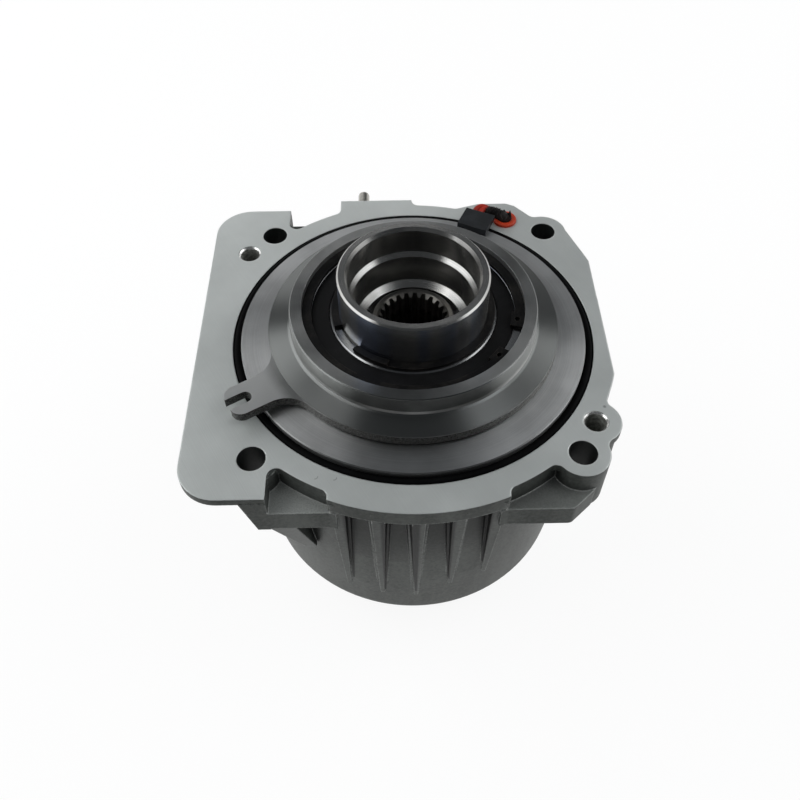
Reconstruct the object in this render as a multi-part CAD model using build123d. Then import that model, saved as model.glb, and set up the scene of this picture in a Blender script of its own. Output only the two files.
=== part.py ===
# Rear differential coupling: an electromagnetic clutch unit for the rear axle of an all-wheel-drive car.
# Millimetres. The origin is on the turning axis in the machined face of the mounting flange.
# +Z points out of that face toward the differential; X and Y follow the square of the bolt holes.

import os
from math import cos, pi, radians, sin, sqrt, tan

from build123d import *

# Radii that grow outward from the clutch drum
drum_radius = 66.0
drum_clearance = 2.0
chamber_draft = 2.0
cover_shoulder = 1.4
seal_cord_radius = 1.75
seal_groove_play = 0.1
flange_land = 9.0
chamber_bottom_radius = drum_radius + drum_clearance
chamber_top_radius = chamber_bottom_radius + chamber_draft
cover_outer_radius = chamber_top_radius + cover_shoulder
seal_groove_radius = cover_outer_radius + 2 * seal_cord_radius + seal_groove_play
body_radius = seal_groove_radius + flange_land

# Mounting flange
bolt_outset = 3.89
bolt_offset = (body_radius + bolt_outset) * cos(radians(45))
bolt_hole_radius = 5.5
plate_thickness = 3.5
plate_left = -(body_radius + 5.3)
plate_back = body_radius - 4.3
plate_front = -(body_radius - 4.0)
plate_corner_radius = 15.5
pocket_left = -(bolt_offset - 6.25)
back_right_radius = body_radius - 1.6
right_flat = body_radius - 3.6
front_lip_radius = body_radius + 3.2
front_lip_half_width = 33.4
boss_radius = 10.5
boss_depth = 21.5
outline_blend = 3.5

# Lugs that tie the bolt bosses to the bowl
pocket_depth = 10.0
lug_reach = body_radius - 3.8
lug_inner_x = 30.5
lug_inner_reach = body_radius - 2.9
lug_corner_x = bolt_offset - 4.15
lug_slant_x = bolt_offset + 6.0
lug_slant_y = bolt_offset + 8.9
lug_corner_round = 3.0
lug_edge = 0.8

# Solid corners between the wing and the left lugs
wing_corner_x = bolt_offset - 1.3
wing_corner_top_x = bolt_offset + 3.8
wing_side_x = bolt_offset + 9.0
wing_side_y = bolt_offset + 5.4

# Stiffener under the front left boss
gusset_top_corner = (-(bolt_offset - 5.7), -lug_reach)
gusset_top_size = (10.0, 20.0)
gusset_foot_corner = (-(bolt_offset - 14.6), -66.0)
gusset_foot_size = (5.0, 16.0)
gusset_depth = 62.0

# Raised outline of the breather pad and of the wire pad
breather_pad_left = -32.2
breather_pad_right = 1.7
breather_pad_back = body_radius + 2.3
breather_pad_depth = 14.0
breather_pad_thickness = 14.0

# Outlines and places on the flange, as shares of the body radius
wire_pad_shares = [(0.238, 0.833), (0.277, 0.946), (0.399, 0.983), (0.554, 0.983), (0.601, 0.962),
                   (0.658, 0.898), (0.714, 0.833)]
shoulder_shares = [
    (0.714, 0.595),
    (0.862, 0.757),
    (0.943, 0.536),
    (0.956, 0.495),
    (0.956, -0.287),
    (0.714, -0.287),
]
dowel_shares = [(-0.8667, 0.5976), (0.825, -0.5679)]
wire_share = (0.5369, 0.8405)

# Locating dowel holes
dowel_places = [(x * body_radius, y * body_radius) for x, y in dowel_shares]
dowel_hole_radius = 4.15
dowel_chamfer = 0.85
dowel_hole_depth = 12.0
dowel_boss_radius = 10.0
dowel_boss_depth = 15.0

# Bowl of the casting
bowl_top_radius = body_radius - 1.6
bowl_draft = 5.3
bowl_depth = 117.0
bowl_edge_radius = 8.0
foot_chamfer = 1.0
chamber_depth = 109.0

# Ribs on the front of the bowl
rib_pitch = 15.0
rib_ends = [94.0, 94.0, 94.0, 84.0, 82.0]
rib_top_width = 5.4
rib_top_root_width = 8.8
rib_foot_width = 1.8
rib_foot_root_width = 3.0
rib_foot_height = 0.7
rib_root_depth = 6.0
skirt_depth = 7.5
slot_depth = 5.5
slot_run_out = 0.2
slot_margin = 1.0
slot_top_width = 7.8
slot_top_root_width = 4.6
slot_foot_width = 12.0
slot_foot_root_width = 11.0
slot_end_gap = 5.0

# Bottom boss of the casting
bottom_boss_radius = 45.0
bottom_boss_depth = 132.0
bottom_boss_inner_top = 101.0

# Cover ring and the sealing ring round it
cover_inner_radius = drum_radius - 7.4
cover_edge = 0.4
cover_proud = 1.9
cover_seat_depth = 9.0
cover_plate_bottom = -1.5
cover_rim_inner_radius = cover_outer_radius - 3.8
seat_clearance = 0.02
seal_groove_depth = 3.2

# Breather
breather_x = -21.5
breather_z = -6.0
breather_radius = 2.7
breather_reach = 12.0
breather_grip = 7.0
breather_passage_radius = 1.5
breather_passage_slope = 0.6
breather_passage_length = 20.0
breather_foot_radius = 3.3
breather_foot_height = 1.4
breather_slot_width = 1.1
breather_slot_offset = 1.55
breather_slot_start = 2.0
breather_slot_end = 4.6
breather_cap_round = 1.5

# Wire passage, its silicone seal and plug
wire_x = wire_share[0] * body_radius
wire_y = wire_share[1] * body_radius
wire_hole_radius = 5.5
wire_boss_radius = 9.0
grommet_inner_radius = 3.6
grommet_depth = 12.0
grommet_proud = 0.5
grommet_edge = 0.5
plug_proud = 0.8
plug_tail = 3.0

# Lead and the holder that keeps it on the cover
lead_radius = 1.2
lead_angle = 64.6
lead_rise = 0.6
lead_overrun = 2.0
holder_inner_radius = cover_outer_radius - 4.8
holder_length = 11.6
holder_width = 14.0
holder_height = 3.4
holder_relief = 0.5
holder_roof_play = 0.8
lead_slot_inner = cover_outer_radius - 3.5
lead_slot_outer = cover_outer_radius - 0.7
lead_slot_width = 3.4
lead_level = -4.4
lead_bend_radius = 1.9

# Rotating hub that carries the coil bearing
hub_radius = 30.0
hub_top = 34.3
hub_edge_chamfer = 0.7
hub_mouth_radius = 26.9
hub_mouth_depth = 1.6
hub_upper_bore = 26.0
hub_upper_step = 21.9
hub_middle_bore = 24.4
hub_middle_step = 20.2
hub_lower_bore = 23.4
hub_lower_step = 8.3
hub_inner_bore = 20.5
hub_inner_step = 6.3
hub_shoulder_radius = 33.2

# Sealed ball bearing between hub and coil carrier
coil_bearing_top = 14.2
coil_bearing_width = 13.0
coil_bearing_outer = 45.0
coil_bearing_inner_wall = 4.0
coil_bearing_outer_wall = 4.0
coil_ball_radius = 3.9
coil_ball_count = 12
race_clearance = 0.3
race_edge = 0.6
cage_window_play = 0.15
cage_window_depth = 6.0
cage_thickness = 1.6
coil_cage_height = 9.6
shield_thickness = 1.0
shield_inset = 0.3
shield_gap = 0.15

# Retaining rings
ring_thickness = 1.5
hub_ring_inner = 28.8
hub_ring_outer = 33.1
hub_ring_gap_start = -162.0
hub_ring_gap_end = -136.0
yoke_ring_inner = 41.2
yoke_ring_outer = 46.6
yoke_ring_gap_start = -34.0
yoke_ring_gap_end = -16.0
ring_groove_play = 0.1
yoke_ring_lug_angle = 10.5
yoke_ring_lug_reach = 1.4
ring_hole_radius = 1.1
hub_ring_lug_angle = 27.0
hub_ring_lug_reach = 1.2
hub_ring_lug_gap = 0.9
hub_ring_lug_overhang = 0.3
eye_gap = 0.6
plain_ring_gap_start = 80.0
plain_ring_gap_end = 100.0

# Rotor rim, which the coil carrier runs inside
rim_radius = drum_radius - 5.0
rim_wall = 3.4
rim_inner_radius = rim_radius - rim_wall
carrier_clearance = 0.6

# Coil carrier with its anti-rotation arm
yoke_top = 18.2
yoke_top_radius = 50.0
yoke_neck_bottom = 9.6
yoke_neck_blend = 1.4
yoke_edge = 0.4
yoke_body_radius = rim_inner_radius - carrier_clearance
yoke_plate_radius = yoke_body_radius + 2.5
yoke_plate_top = 7.6
yoke_plate_bottom = 3.6
yoke_body_bottom = -12.8
yoke_inner_radius = 37.4
yoke_shelf_radius = 41.6
yoke_shelf_top = 0.2
coil_channel_outer = yoke_body_radius - 3.6
coil_channel_inner = 42.2
coil_channel_top = -2.0
arm_angle = -149.4
arm_half_width = 7.3
arm_tip_radius = 83.4
arm_tip_round = 4.6
arm_blend = 12.0
arm_slot_width = 5.3
arm_slot_end = arm_tip_radius - 7.2
arm_root_radius = 40.0
lead_start_radius = coil_channel_outer + 0.2
lead_notch_depth = 6.0
lead_notch_width = 7.0
lead_notch_top = -2.4
lead_notch_bottom = -7.4

# Coil
bobbin_wall = 1.0
coil_inset = 0.4
bobbin_play = 0.2

# Rotor web below the coil
web_top = -14.0
web_bottom = -24.0
rotor_pole_radius = 36.8
rotor_pole_top = -1.0
flux_ring_inner = coil_channel_inner + 0.34 * (coil_channel_outer - coil_channel_inner)
flux_ring_outer = coil_channel_inner + 0.70 * (coil_channel_outer - coil_channel_inner)
rim_top = -10.6

# Clutch drum
drum_edge = 2.0
drum_hub_edge = 0.8
drum_bottom = -99.0
drum_floor = -93.0
drum_top = -10.6
tab_count = 8
drum_tab_radius = drum_radius - 2.6
drum_tab_width = 12.0
tab_play = 0.3
drum_shoulder_radius = 26.0
drum_hub_bottom = -131.0
drum_spline_depth = 30.0
drum_spline_teeth = 18
drum_spline_root = 14.0
drum_spline_tip = 12.6
spline_shares = (0.05, 0.30, 0.48, 0.87)

# Ball bearing and seal in the bottom boss
drum_bearing_bore = 22.5
drum_bearing_outer = 37.5
drum_bearing_wall = 5.0
drum_bearing_top = -104.5
drum_bearing_width = 16.0
drum_ball_radius = 4.6
drum_ball_count = 9
drum_cage_height = 12.0
drum_ring_inner = 33.6
drum_ring_outer = 39.2
drum_ring_thickness = 1.8
drum_lock_outer = 26.0
drum_lock_inner = 21.2
bearing_stop_radius = 33.0
oil_seal_outer = 36.0
oil_seal_top = -122.3
oil_seal_bottom = -131.0
oil_seal_lip_gap = 0.05
oil_seal_wall = 2.0

# Clutch shaft
shaft_radius = 16.9
shaft_top = 9.5
shaft_spline_teeth = 24
shaft_spline_root = 14.4
shaft_spline_tip = 13.0
shaft_spline_depth = 38.0
shaft_mouth_reach = 1.4
shaft_edge = 0.5
shaft_relief_radius = 11.0
shaft_relief_bottom = -70.0
shaft_tooth_radius = 19.4
shaft_tooth_width = 5.0
shaft_tooth_count = 6
shaft_tooth_top = -36.8
clutch_hub_radius = 30.0
clutch_hub_top = -48.2
clutch_hub_bottom = -91.8
clutch_hub_slot_radius = 27.6
inner_tab_width = 8.0
journal_radius = 12.5
spring_inner = 20.4
spring_outer = 28.0
spring_thickness = 1.0
spring_gap = 0.05
journal_bottom = -97.4
bush_outer = 15.0
bush_clearance = 0.05
bush_rest_gap = 0.6

# Needle bearing between hub and shaft
needle_radius = 1.25
needle_count = 18
needle_length = 14.0
needle_top = -4.0
needle_gap = 0.1
cup_lip = 1.0
needle_end_gap = 0.2
needle_end_play = 0.6

# Main clutch plates
plate_pitch = 4.9
main_plate_thickness = 2.2
outer_plate_count = 9
outer_plate_inner_radius = 33.0
inner_plate_outer_radius = drum_radius - 8.0
pack_top = -47.0
inner_plate_gap = 0.25

# Ball cam
main_cam_top = -37.0
main_cam_bottom = -46.0
main_cam_radius = drum_radius - 8.0
main_cam_hub_radius = 34.0
main_cam_flange_top = -41.0
cam_slide_clearance = 0.05
cam_ball_radius = 4.0
cam_ball_pitch_radius = 26.0
cam_ball_count = 6
cam_groove_depth = 2.4
cam_groove_top_half = 4.0
cam_groove_floor_half = 2.7
cam_groove_sweep = 32.0
pilot_cam_top = -26.2
pilot_cam_bottom = -33.0
pilot_cam_radius = 34.0
pilot_tab_radius = 36.0
pilot_tab_width = 8.0
pilot_clearance = 0.08
washer_inner = 21.5
washer_outer = 33.0
washer_gap = 0.1

# Pilot clutch plates and armature
pilot_plate_thickness = 1.6
pilot_plate_top = -24.6
pilot_plate_pitch = 1.9
pilot_plate_inner_radius = 38.0
pilot_plate_outer_radius = drum_radius - 7.0
armature_top = -30.9
armature_bottom = -36.2
armature_inner_radius = 38.0


# Small helpers

def turned(points):
    """Solid of revolution about Z from (radius, height) points."""
    profile = Plane.XZ * make_face(Polyline(*points, close=True))
    return revolve(profile, axis=Axis.Z)


def tube(outer, inner, bottom, top):
    """Plain ring between two heights."""
    ring = Circle(outer) - Circle(inner)
    return Pos(0, 0, bottom) * extrude(ring, amount=top - bottom)


def slab(shape, bottom, top):
    """Flat shape given thickness between two heights."""
    return Pos(0, 0, bottom) * extrude(shape, amount=top - bottom)


def at_angle(angle):
    """Turn about the axis."""
    return Rot(0, 0, angle)


def sector(radius, start, end):
    """Pie-shaped flat area between two angles."""
    reach = radius * 1.5
    middle = (start + end) / 2
    corners = [(0, 0)]
    for angle in (start, middle, end):
        corners.append((reach * cos(radians(angle)), reach * sin(radians(angle))))
    return make_face(Polyline(*corners, close=True))


def save(shape, name):
    """Write one sub-part."""
    export_step(shape, "parts/" + name + ".step")


# Casting

def scaled_face(shares):
    """Flat area from corner points given as shares of the body radius."""
    return make_face(Polyline(*[(x * body_radius, y * body_radius) for x, y in shares], close=True))


def wall_outline():
    """Round wall under the flange, flat on the right and slightly smaller at the back right."""
    keep = Pos(right_flat - body_radius, 0) * Rectangle(2 * body_radius, 2 * body_radius)
    body = Circle(body_radius) & keep
    quarter = Pos(breather_pad_right + body_radius, body_radius) * Rectangle(2 * body_radius, 2 * body_radius)
    return body - (quarter - Circle(back_right_radius))


def front_lip():
    """Arc at the front where the flange reaches over the ribs."""
    return Circle(front_lip_radius) & Pos(0, -body_radius) * Rectangle(2 * front_lip_half_width, body_radius)


def flange_outline():
    """Outer shape of the machined flange face."""
    body = wall_outline()
    plate_width = pocket_left - plate_left
    plate_height = plate_back - plate_front
    middle = ((plate_left + pocket_left) / 2, (plate_back + plate_front) / 2)
    wing = Pos(*middle) * Rectangle(plate_width, plate_height)
    wing = fillet(wing.vertices().group_by(Axis.X)[0], plate_corner_radius)
    breather_width = breather_pad_right - breather_pad_left
    breather_middle = (breather_pad_left + breather_pad_right) / 2
    breather_pad = Pos(breather_middle, breather_pad_back / 2) * Rectangle(breather_width, breather_pad_back)
    wire_pad = scaled_face(wire_pad_shares)
    shoulder = scaled_face(shoulder_shares)
    outline = body + wing + front_lip() + breather_pad + wire_pad + shoulder
    outline = outline + Pos(bolt_offset, bolt_offset) * Circle(boss_radius)
    outline = outline + Pos(bolt_offset, -bolt_offset) * Circle(boss_radius)
    outline = outline + Pos(*dowel_places[1]) * Circle(dowel_boss_radius)
    grown = offset(outline, amount=outline_blend, kind=Kind.ARC)
    return offset(grown, amount=-outline_blend, kind=Kind.ARC)


def lug_shape(side_x, side_y):
    """Flat web shape from the bowl to a bolt boss, mirrored by the signs given."""
    points = [
        (lug_inner_x, lug_inner_reach),
        (front_lip_half_width, lug_reach),
        (lug_corner_x, lug_reach),
        (lug_slant_x, lug_slant_y),
        (bolt_offset, bolt_offset),
        (lug_inner_x, chamber_top_radius),
    ]
    mirrored = [(side_x * x, side_y * y) for x, y in points]
    shape = make_face(Polyline(*mirrored, close=True))
    corners = [corner for corner in shape.vertices() if abs(corner.X) > lug_corner_x - 0.1]
    return fillet(corners, lug_corner_round)


def wing_corner(side_y):
    """Cast corner beside a left bolt boss, wider where it meets the wing."""
    sections = []
    for corner_x, level in ((wing_corner_x, -boss_depth), (wing_corner_top_x, -plate_thickness + 0.5)):
        points = [
            (pocket_left, side_y * lug_reach),
            (-corner_x, side_y * lug_reach),
            (-wing_side_x, side_y * wing_side_y),
            (-bolt_offset, side_y * bolt_offset),
            (pocket_left, side_y * bolt_offset),
        ]
        sections.append(Pos(0, 0, level) * make_face(Polyline(*points, close=True)))
    return loft(sections)


def bowl_radius_at(depth):
    """Outside radius of the drafted bowl wall."""
    return bowl_top_radius - depth * tan(radians(bowl_draft))


def bowl_body():
    """Outside of the bowl with its rounded lower edge and the bottom boss."""
    foot = bowl_radius_at(bowl_depth)
    body = turned([(0, 0), (bowl_top_radius, 0), (foot, -bowl_depth), (0, -bowl_depth)])
    body = fillet(body.edges().group_by(Axis.Z)[0], bowl_edge_radius)
    beyond_flat = Pos(right_flat + body_radius, 0, 0) * Box(2 * body_radius, 4 * body_radius, 4 * body_radius)
    body = body - beyond_flat
    boss = tube(bottom_boss_radius, 1.0, -bottom_boss_depth, -bowl_depth + 1.0)
    foot_edges = boss.edges().group_by(Axis.Z)[0].sort_by(SortBy.RADIUS)
    boss = chamfer(foot_edges[-1:], foot_chamfer)
    return body + boss


def wall_reach(radius, x):
    """How far forward a round wall stands at one x."""
    return -sqrt(radius * radius - x * x)


def rib_section(x, root, front, root_width, front_width, level):
    """Trapezoid cut through a rib at one height."""
    corners = [
        (x - root_width / 2, root),
        (x - front_width / 2, front),
        (x + front_width / 2, front),
        (x + root_width / 2, root),
    ]
    return Pos(0, 0, level) * make_face(Polyline(*corners, close=True))


def rib(x, end):
    """One drafted rib along the pull direction, widest under the lip and fading into the bowl."""
    top_depth = plate_thickness - 0.5
    top_front = wall_reach(front_lip_radius - 0.3, x)
    top = rib_section(x, top_front + rib_root_depth, top_front, rib_top_root_width, rib_top_width, -top_depth)
    foot_front = wall_reach(bowl_radius_at(end) + rib_foot_height, x)
    foot = rib_section(x, foot_front + rib_root_depth, foot_front, rib_foot_root_width, rib_foot_width, -end)
    return loft([foot, top])


def slot_section(x, back_radius, front_radius, back_width, front_width, level):
    """Cut through a rib slot at one height, with its back following the wall."""
    corners = []
    for offset, radius in (
        (-back_width / 2, back_radius),
        (-front_width / 2, front_radius),
        (front_width / 2, front_radius),
        (back_width / 2, back_radius),
    ):
        corners.append((x + offset, wall_reach(radius, x + offset)))
    return Pos(0, 0, level) * make_face(Polyline(*corners, close=True))


def rib_slot(x, end):
    """Relief between two ribs, deepest under the lip and running out at the rib feet."""
    top_back = body_radius - slot_depth
    top_front = body_radius + slot_margin
    foot_back = bowl_radius_at(end) + slot_run_out
    foot_front = bowl_radius_at(end) + slot_margin
    top = slot_section(x, top_back, top_front, slot_top_root_width, slot_top_width, -skirt_depth)
    foot = slot_section(x, foot_back, foot_front, slot_foot_root_width, slot_foot_width, -end)
    return loft([foot, top])


def corner_gusset():
    """Sloping stiffener from the front left lug down to the bowl."""
    top_x, top_y = gusset_top_corner
    foot_x, foot_y = gusset_foot_corner
    top = Pos(top_x, top_y, -boss_depth + 1.0) * Rectangle(*gusset_top_size, align=(Align.MIN, Align.MIN))
    foot = Pos(foot_x, foot_y, -gusset_depth) * Rectangle(*gusset_foot_size, align=(Align.MIN, Align.MIN))
    return loft([foot, top])


def housing():
    """Cast housing: flange, bosses, lugs, bowl and ribs, bored for the moving parts."""
    body = bowl_body() + slab(flange_outline(), -plate_thickness, 0)
    body = body + slab(wall_outline(), -pocket_depth, -1.0)
    for side_x in (-1, 1):
        for side_y in (-1, 1):
            lug = slab(lug_shape(side_x, side_y), -boss_depth, -pocket_depth)
            body = body + chamfer(lug.edges().group_by(Axis.Z)[0], lug_edge)
            spot = Pos(side_x * bolt_offset, side_y * bolt_offset)
            body = body + slab(spot * Circle(boss_radius), -boss_depth, -1.0)
    for side_y in (-1, 1):
        body = body + wing_corner(side_y)
    breather_width = breather_pad_right - breather_pad_left
    breather_middle = (breather_pad_left + breather_pad_right) / 2
    pad_middle = breather_pad_back - breather_pad_thickness / 2
    pad = Pos(breather_middle, pad_middle) * Rectangle(breather_width, breather_pad_thickness)
    body = body + slab(pad, -breather_pad_depth, -1.0)
    for place in dowel_places:
        body = body + slab(Pos(*place) * Circle(dowel_boss_radius - 1.0), -dowel_boss_depth, -1.0)
    wire_place = Pos(wire_x, wire_y)
    body = body + slab(wire_place * Circle(wire_boss_radius), -boss_depth, -1.0)
    body = body + corner_gusset()
    body = body + slab(front_lip(), -skirt_depth, -1.0)
    for index, end in enumerate(rib_ends):
        body = body + rib((index - 2) * rib_pitch, end)
    for index, end in enumerate(rib_ends[1:]):
        body = body - rib_slot((index - 1.5) * rib_pitch, end - slot_end_gap)
    body = body - chamber()
    for side_x in (-1, 1):
        for side_y in (-1, 1):
            hole = Pos(side_x * bolt_offset, side_y * bolt_offset) * Circle(bolt_hole_radius)
            body = body - slab(hole, -boss_depth - 1.0, 1.0)
    for place in dowel_places:
        x, y = place
        hole = turned([
            (0, 1.0),
            (dowel_hole_radius + dowel_chamfer + 1.0, 1.0),
            (dowel_hole_radius, -dowel_chamfer),
            (dowel_hole_radius, -dowel_hole_depth),
            (0, -dowel_hole_depth - 2.0),
        ])
        body = body - Pos(x, y, 0) * hole
    body = body - slab(wire_place * Circle(wire_hole_radius), -boss_depth - 1.0, 1.0)
    face = Plane(origin=(breather_x, breather_pad_back, breather_z), z_dir=(0, -1, 0))
    body = body - face * extrude(Circle(breather_radius), amount=breather_grip)
    drill = Plane(origin=(breather_x, breather_pad_back - breather_grip, breather_z),
                  z_dir=(0, -1, -breather_passage_slope))
    return body - drill * extrude(Circle(breather_passage_radius), amount=breather_passage_length)


def chamber():
    """Everything bored out of the casting along the axis."""
    bore = turned([
        (0, 1.0),
        (seal_groove_radius, 1.0),
        (seal_groove_radius, -seal_groove_depth),
        (cover_outer_radius + seat_clearance, -seal_groove_depth),
        (cover_outer_radius + seat_clearance, -cover_seat_depth),
        (chamber_top_radius, -cover_seat_depth),
        (chamber_bottom_radius, -chamber_depth),
        (bottom_boss_radius, -chamber_depth),
        (bottom_boss_radius, -bottom_boss_inner_top),
        (drum_bearing_outer + seat_clearance, -bottom_boss_inner_top),
        (drum_bearing_outer + seat_clearance, drum_bearing_top - drum_bearing_width),
        (bearing_stop_radius, drum_bearing_top - drum_bearing_width),
        (bearing_stop_radius, oil_seal_top),
        (oil_seal_outer, oil_seal_top),
        (oil_seal_outer, -bottom_boss_depth - 1.0),
        (0, -bottom_boss_depth - 1.0),
    ])
    groove_top = drum_bearing_top + drum_ring_thickness + ring_groove_play
    groove = tube(drum_ring_outer + ring_groove_play, drum_bearing_outer - 1.0, drum_bearing_top, groove_top)
    return bore + groove


# Static small parts

def cover_ring():
    """Turned steel ring that closes the mouth of the casting round the coil carrier."""
    body = turned([
        (cover_inner_radius, cover_plate_bottom),
        (cover_rim_inner_radius, cover_plate_bottom),
        (cover_rim_inner_radius, -cover_seat_depth),
        (cover_outer_radius, -cover_seat_depth),
        (cover_outer_radius, cover_proud - cover_edge),
        (cover_outer_radius - cover_edge, cover_proud),
        (cover_inner_radius, cover_proud),
    ])
    slot_middle = (lead_slot_inner + lead_slot_outer) / 2
    slot = Pos(slot_middle, 0) * Rectangle(lead_slot_outer - lead_slot_inner, lead_slot_width)
    passage = Pos((cover_rim_inner_radius + lead_slot_outer) / 2 - 0.5, 0)
    passage = passage * Rectangle(lead_slot_outer - cover_rim_inner_radius + 1.0, lead_slot_width)
    body = body - at_angle(lead_angle) * slab(slot, -cover_seat_depth, cover_proud + 1.0)
    return body - at_angle(lead_angle) * slab(passage, -cover_seat_depth - 1.0, cover_plate_bottom)


def flange_o_ring():
    """Rubber sealing ring between the cover ring and the flange."""
    middle = cover_outer_radius + seal_cord_radius
    return Pos(0, 0, seal_cord_radius - seal_groove_depth) * Torus(middle, seal_cord_radius)


def breather():
    """Small vent nipple with a domed end and two vent slots."""
    face = Plane(origin=(breather_x, breather_pad_back, breather_z), z_dir=(0, 1, 0))
    shank = face * extrude(Circle(breather_radius - seat_clearance), amount=-breather_grip)
    foot_top = Pos(0, 0, breather_foot_height) * Circle(breather_radius)
    foot = face * loft([Circle(breather_foot_radius), foot_top])
    cap = face * extrude(Circle(breather_radius), amount=breather_reach)
    cap = fillet(cap.edges().sort_by(Axis.Y)[-1:], breather_cap_round)
    body = shank + foot + cap
    slot_length = breather_slot_end - breather_slot_start
    slot_y = breather_pad_back + (breather_slot_start + breather_slot_end) / 2
    for side in (-1, 1):
        slot = Box(breather_slot_width, slot_length, 4 * breather_radius)
        body = body - Pos(breather_x + side * breather_slot_offset, slot_y, breather_z) * slot
    return body


def wire_grommet():
    """Silicone sleeve that seals the wire passage."""
    body = turned([
        (grommet_inner_radius, -grommet_depth),
        (wire_hole_radius, -grommet_depth),
        (wire_hole_radius, grommet_proud - grommet_edge),
        (wire_hole_radius - grommet_edge, grommet_proud),
        (grommet_inner_radius + grommet_edge, grommet_proud),
        (grommet_inner_radius, grommet_proud - grommet_edge),
    ])
    return Pos(wire_x, wire_y, 0) * body


def wire_plug():
    """Moulded plug held in the silicone sleeve; the lead ends in it."""
    return slab(Pos(wire_x, wire_y) * Circle(grommet_inner_radius), -grommet_depth - plug_tail, plug_proud)


def lead_points():
    """Route of the lead: coil, below the cover, up through its slot, across the holder, into the plug."""
    along = Vector(cos(radians(lead_angle)), sin(radians(lead_angle)), 0)
    slot_middle = (lead_slot_inner + lead_slot_outer) / 2
    top_level = cover_proud + lead_radius + lead_rise
    out_radius = holder_inner_radius + holder_length + lead_overrun
    start = along * lead_start_radius + Vector(0, 0, lead_level)
    below = along * slot_middle + Vector(0, 0, lead_level)
    above = along * slot_middle + Vector(0, 0, top_level)
    out = along * out_radius + Vector(0, 0, top_level)
    plug_top = Vector(wire_x, wire_y, top_level)
    plug_in = Vector(wire_x, wire_y, plug_proud)
    return [start, below, above, out, plug_top, plug_in]


def coil_lead():
    """Round insulated lead from the coil to the plug."""
    points = lead_points()
    path = FilletPolyline(*points, radius=lead_bend_radius)
    section = Plane(origin=path @ 0, z_dir=path % 0) * Circle(lead_radius)
    return sweep(section, path=path)


def lead_holder():
    """Moulded block that holds the lead down where it crosses the sealing ring."""
    middle = holder_inner_radius + holder_length / 2
    block = Pos(middle, 0, cover_proud + holder_height / 2) * Box(holder_length, holder_width, holder_height)
    channel_length = holder_inner_radius + holder_length - lead_slot_inner + 1.0
    channel_middle = lead_slot_inner + channel_length / 2
    channel_height = 2 * lead_radius + holder_roof_play
    channel = Pos(channel_middle, 0, cover_proud + channel_height / 2)
    channel = channel * Box(channel_length, lead_slot_width, channel_height)
    relief_length = holder_inner_radius + holder_length - cover_outer_radius + 1.0
    relief = Pos(cover_outer_radius + relief_length / 2, 0, cover_proud + holder_relief / 2)
    relief = relief * Box(relief_length, holder_width + 1.0, holder_relief)
    return at_angle(lead_angle) * (block - channel - relief)


# Rotor and hub, the rotating top end

def rotor_hub():
    """Hub sleeve with the inner part of the magnetic web."""
    groove_bottom = coil_bearing_top
    groove_top = coil_bearing_top + ring_thickness + ring_groove_play
    bearing_bottom = coil_bearing_top - coil_bearing_width
    return turned([
        (hub_inner_bore, web_bottom),
        (flux_ring_inner, web_bottom),
        (flux_ring_inner, web_top),
        (rotor_pole_radius, web_top),
        (rotor_pole_radius, rotor_pole_top),
        (hub_shoulder_radius, bearing_bottom),
        (hub_radius, bearing_bottom),
        (hub_radius, groove_bottom),
        (hub_ring_inner - ring_groove_play, groove_bottom),
        (hub_ring_inner - ring_groove_play, groove_top),
        (hub_radius, groove_top),
        (hub_radius, hub_top - hub_edge_chamfer),
        (hub_radius - hub_edge_chamfer, hub_top),
        (hub_mouth_radius, hub_top),
        (hub_upper_bore, hub_top - hub_mouth_depth),
        (hub_upper_bore, hub_upper_step),
        (hub_middle_bore, hub_middle_step),
        (hub_lower_bore, hub_lower_step),
        (hub_inner_bore, hub_inner_step),
    ])


def flux_ring():
    """Non-magnetic ring welded into the web."""
    return tube(flux_ring_outer, flux_ring_inner, web_bottom, web_top)


def rotor_rim():
    """Outer part of the magnetic web, screwed into the drum."""
    return turned([
        (flux_ring_outer, web_bottom),
        (rim_radius, web_bottom),
        (rim_radius, rim_top),
        (rim_inner_radius, rim_top),
        (rim_inner_radius, web_top),
        (flux_ring_outer, web_top),
    ])


def race_ring(bore, outer, ball_middle, ball_radius, bottom, width):
    """One bearing ring with its ball groove and small edge chamfers."""
    top = bottom + width
    corners = [
        (bore + race_edge, bottom),
        (outer - race_edge, bottom),
        (outer, bottom + race_edge),
        (outer, top - race_edge),
        (outer - race_edge, top),
        (bore + race_edge, top),
        (bore, top - race_edge),
        (bore, bottom + race_edge),
    ]
    ring = turned(corners)
    groove = Pos(0, 0, bottom + width / 2) * Torus(ball_middle, ball_radius + race_clearance)
    return ring - groove


def ball_set(middle_radius, height, radius, count):
    """Loose balls of one bearing or cam."""
    balls = []
    for index in range(count):
        angle = 2 * pi * index / count
        place = Pos(middle_radius * cos(angle), middle_radius * sin(angle), height)
        balls.append(place * Sphere(radius))
    return Compound(children=balls)


def ball_cage(middle_radius, height, radius, count, cage_height):
    """Ring with a round window for each ball."""
    half = cage_height / 2
    outer = middle_radius + cage_thickness / 2
    ring = tube(outer, outer - cage_thickness, height - half, height + half)
    drill = Rot(0, 90, 0) * Cylinder(radius + cage_window_play, cage_window_depth)
    for index in range(count):
        ring = ring - at_angle(360 * index / count) * Pos(middle_radius, 0, height) * drill
    return ring


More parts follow.
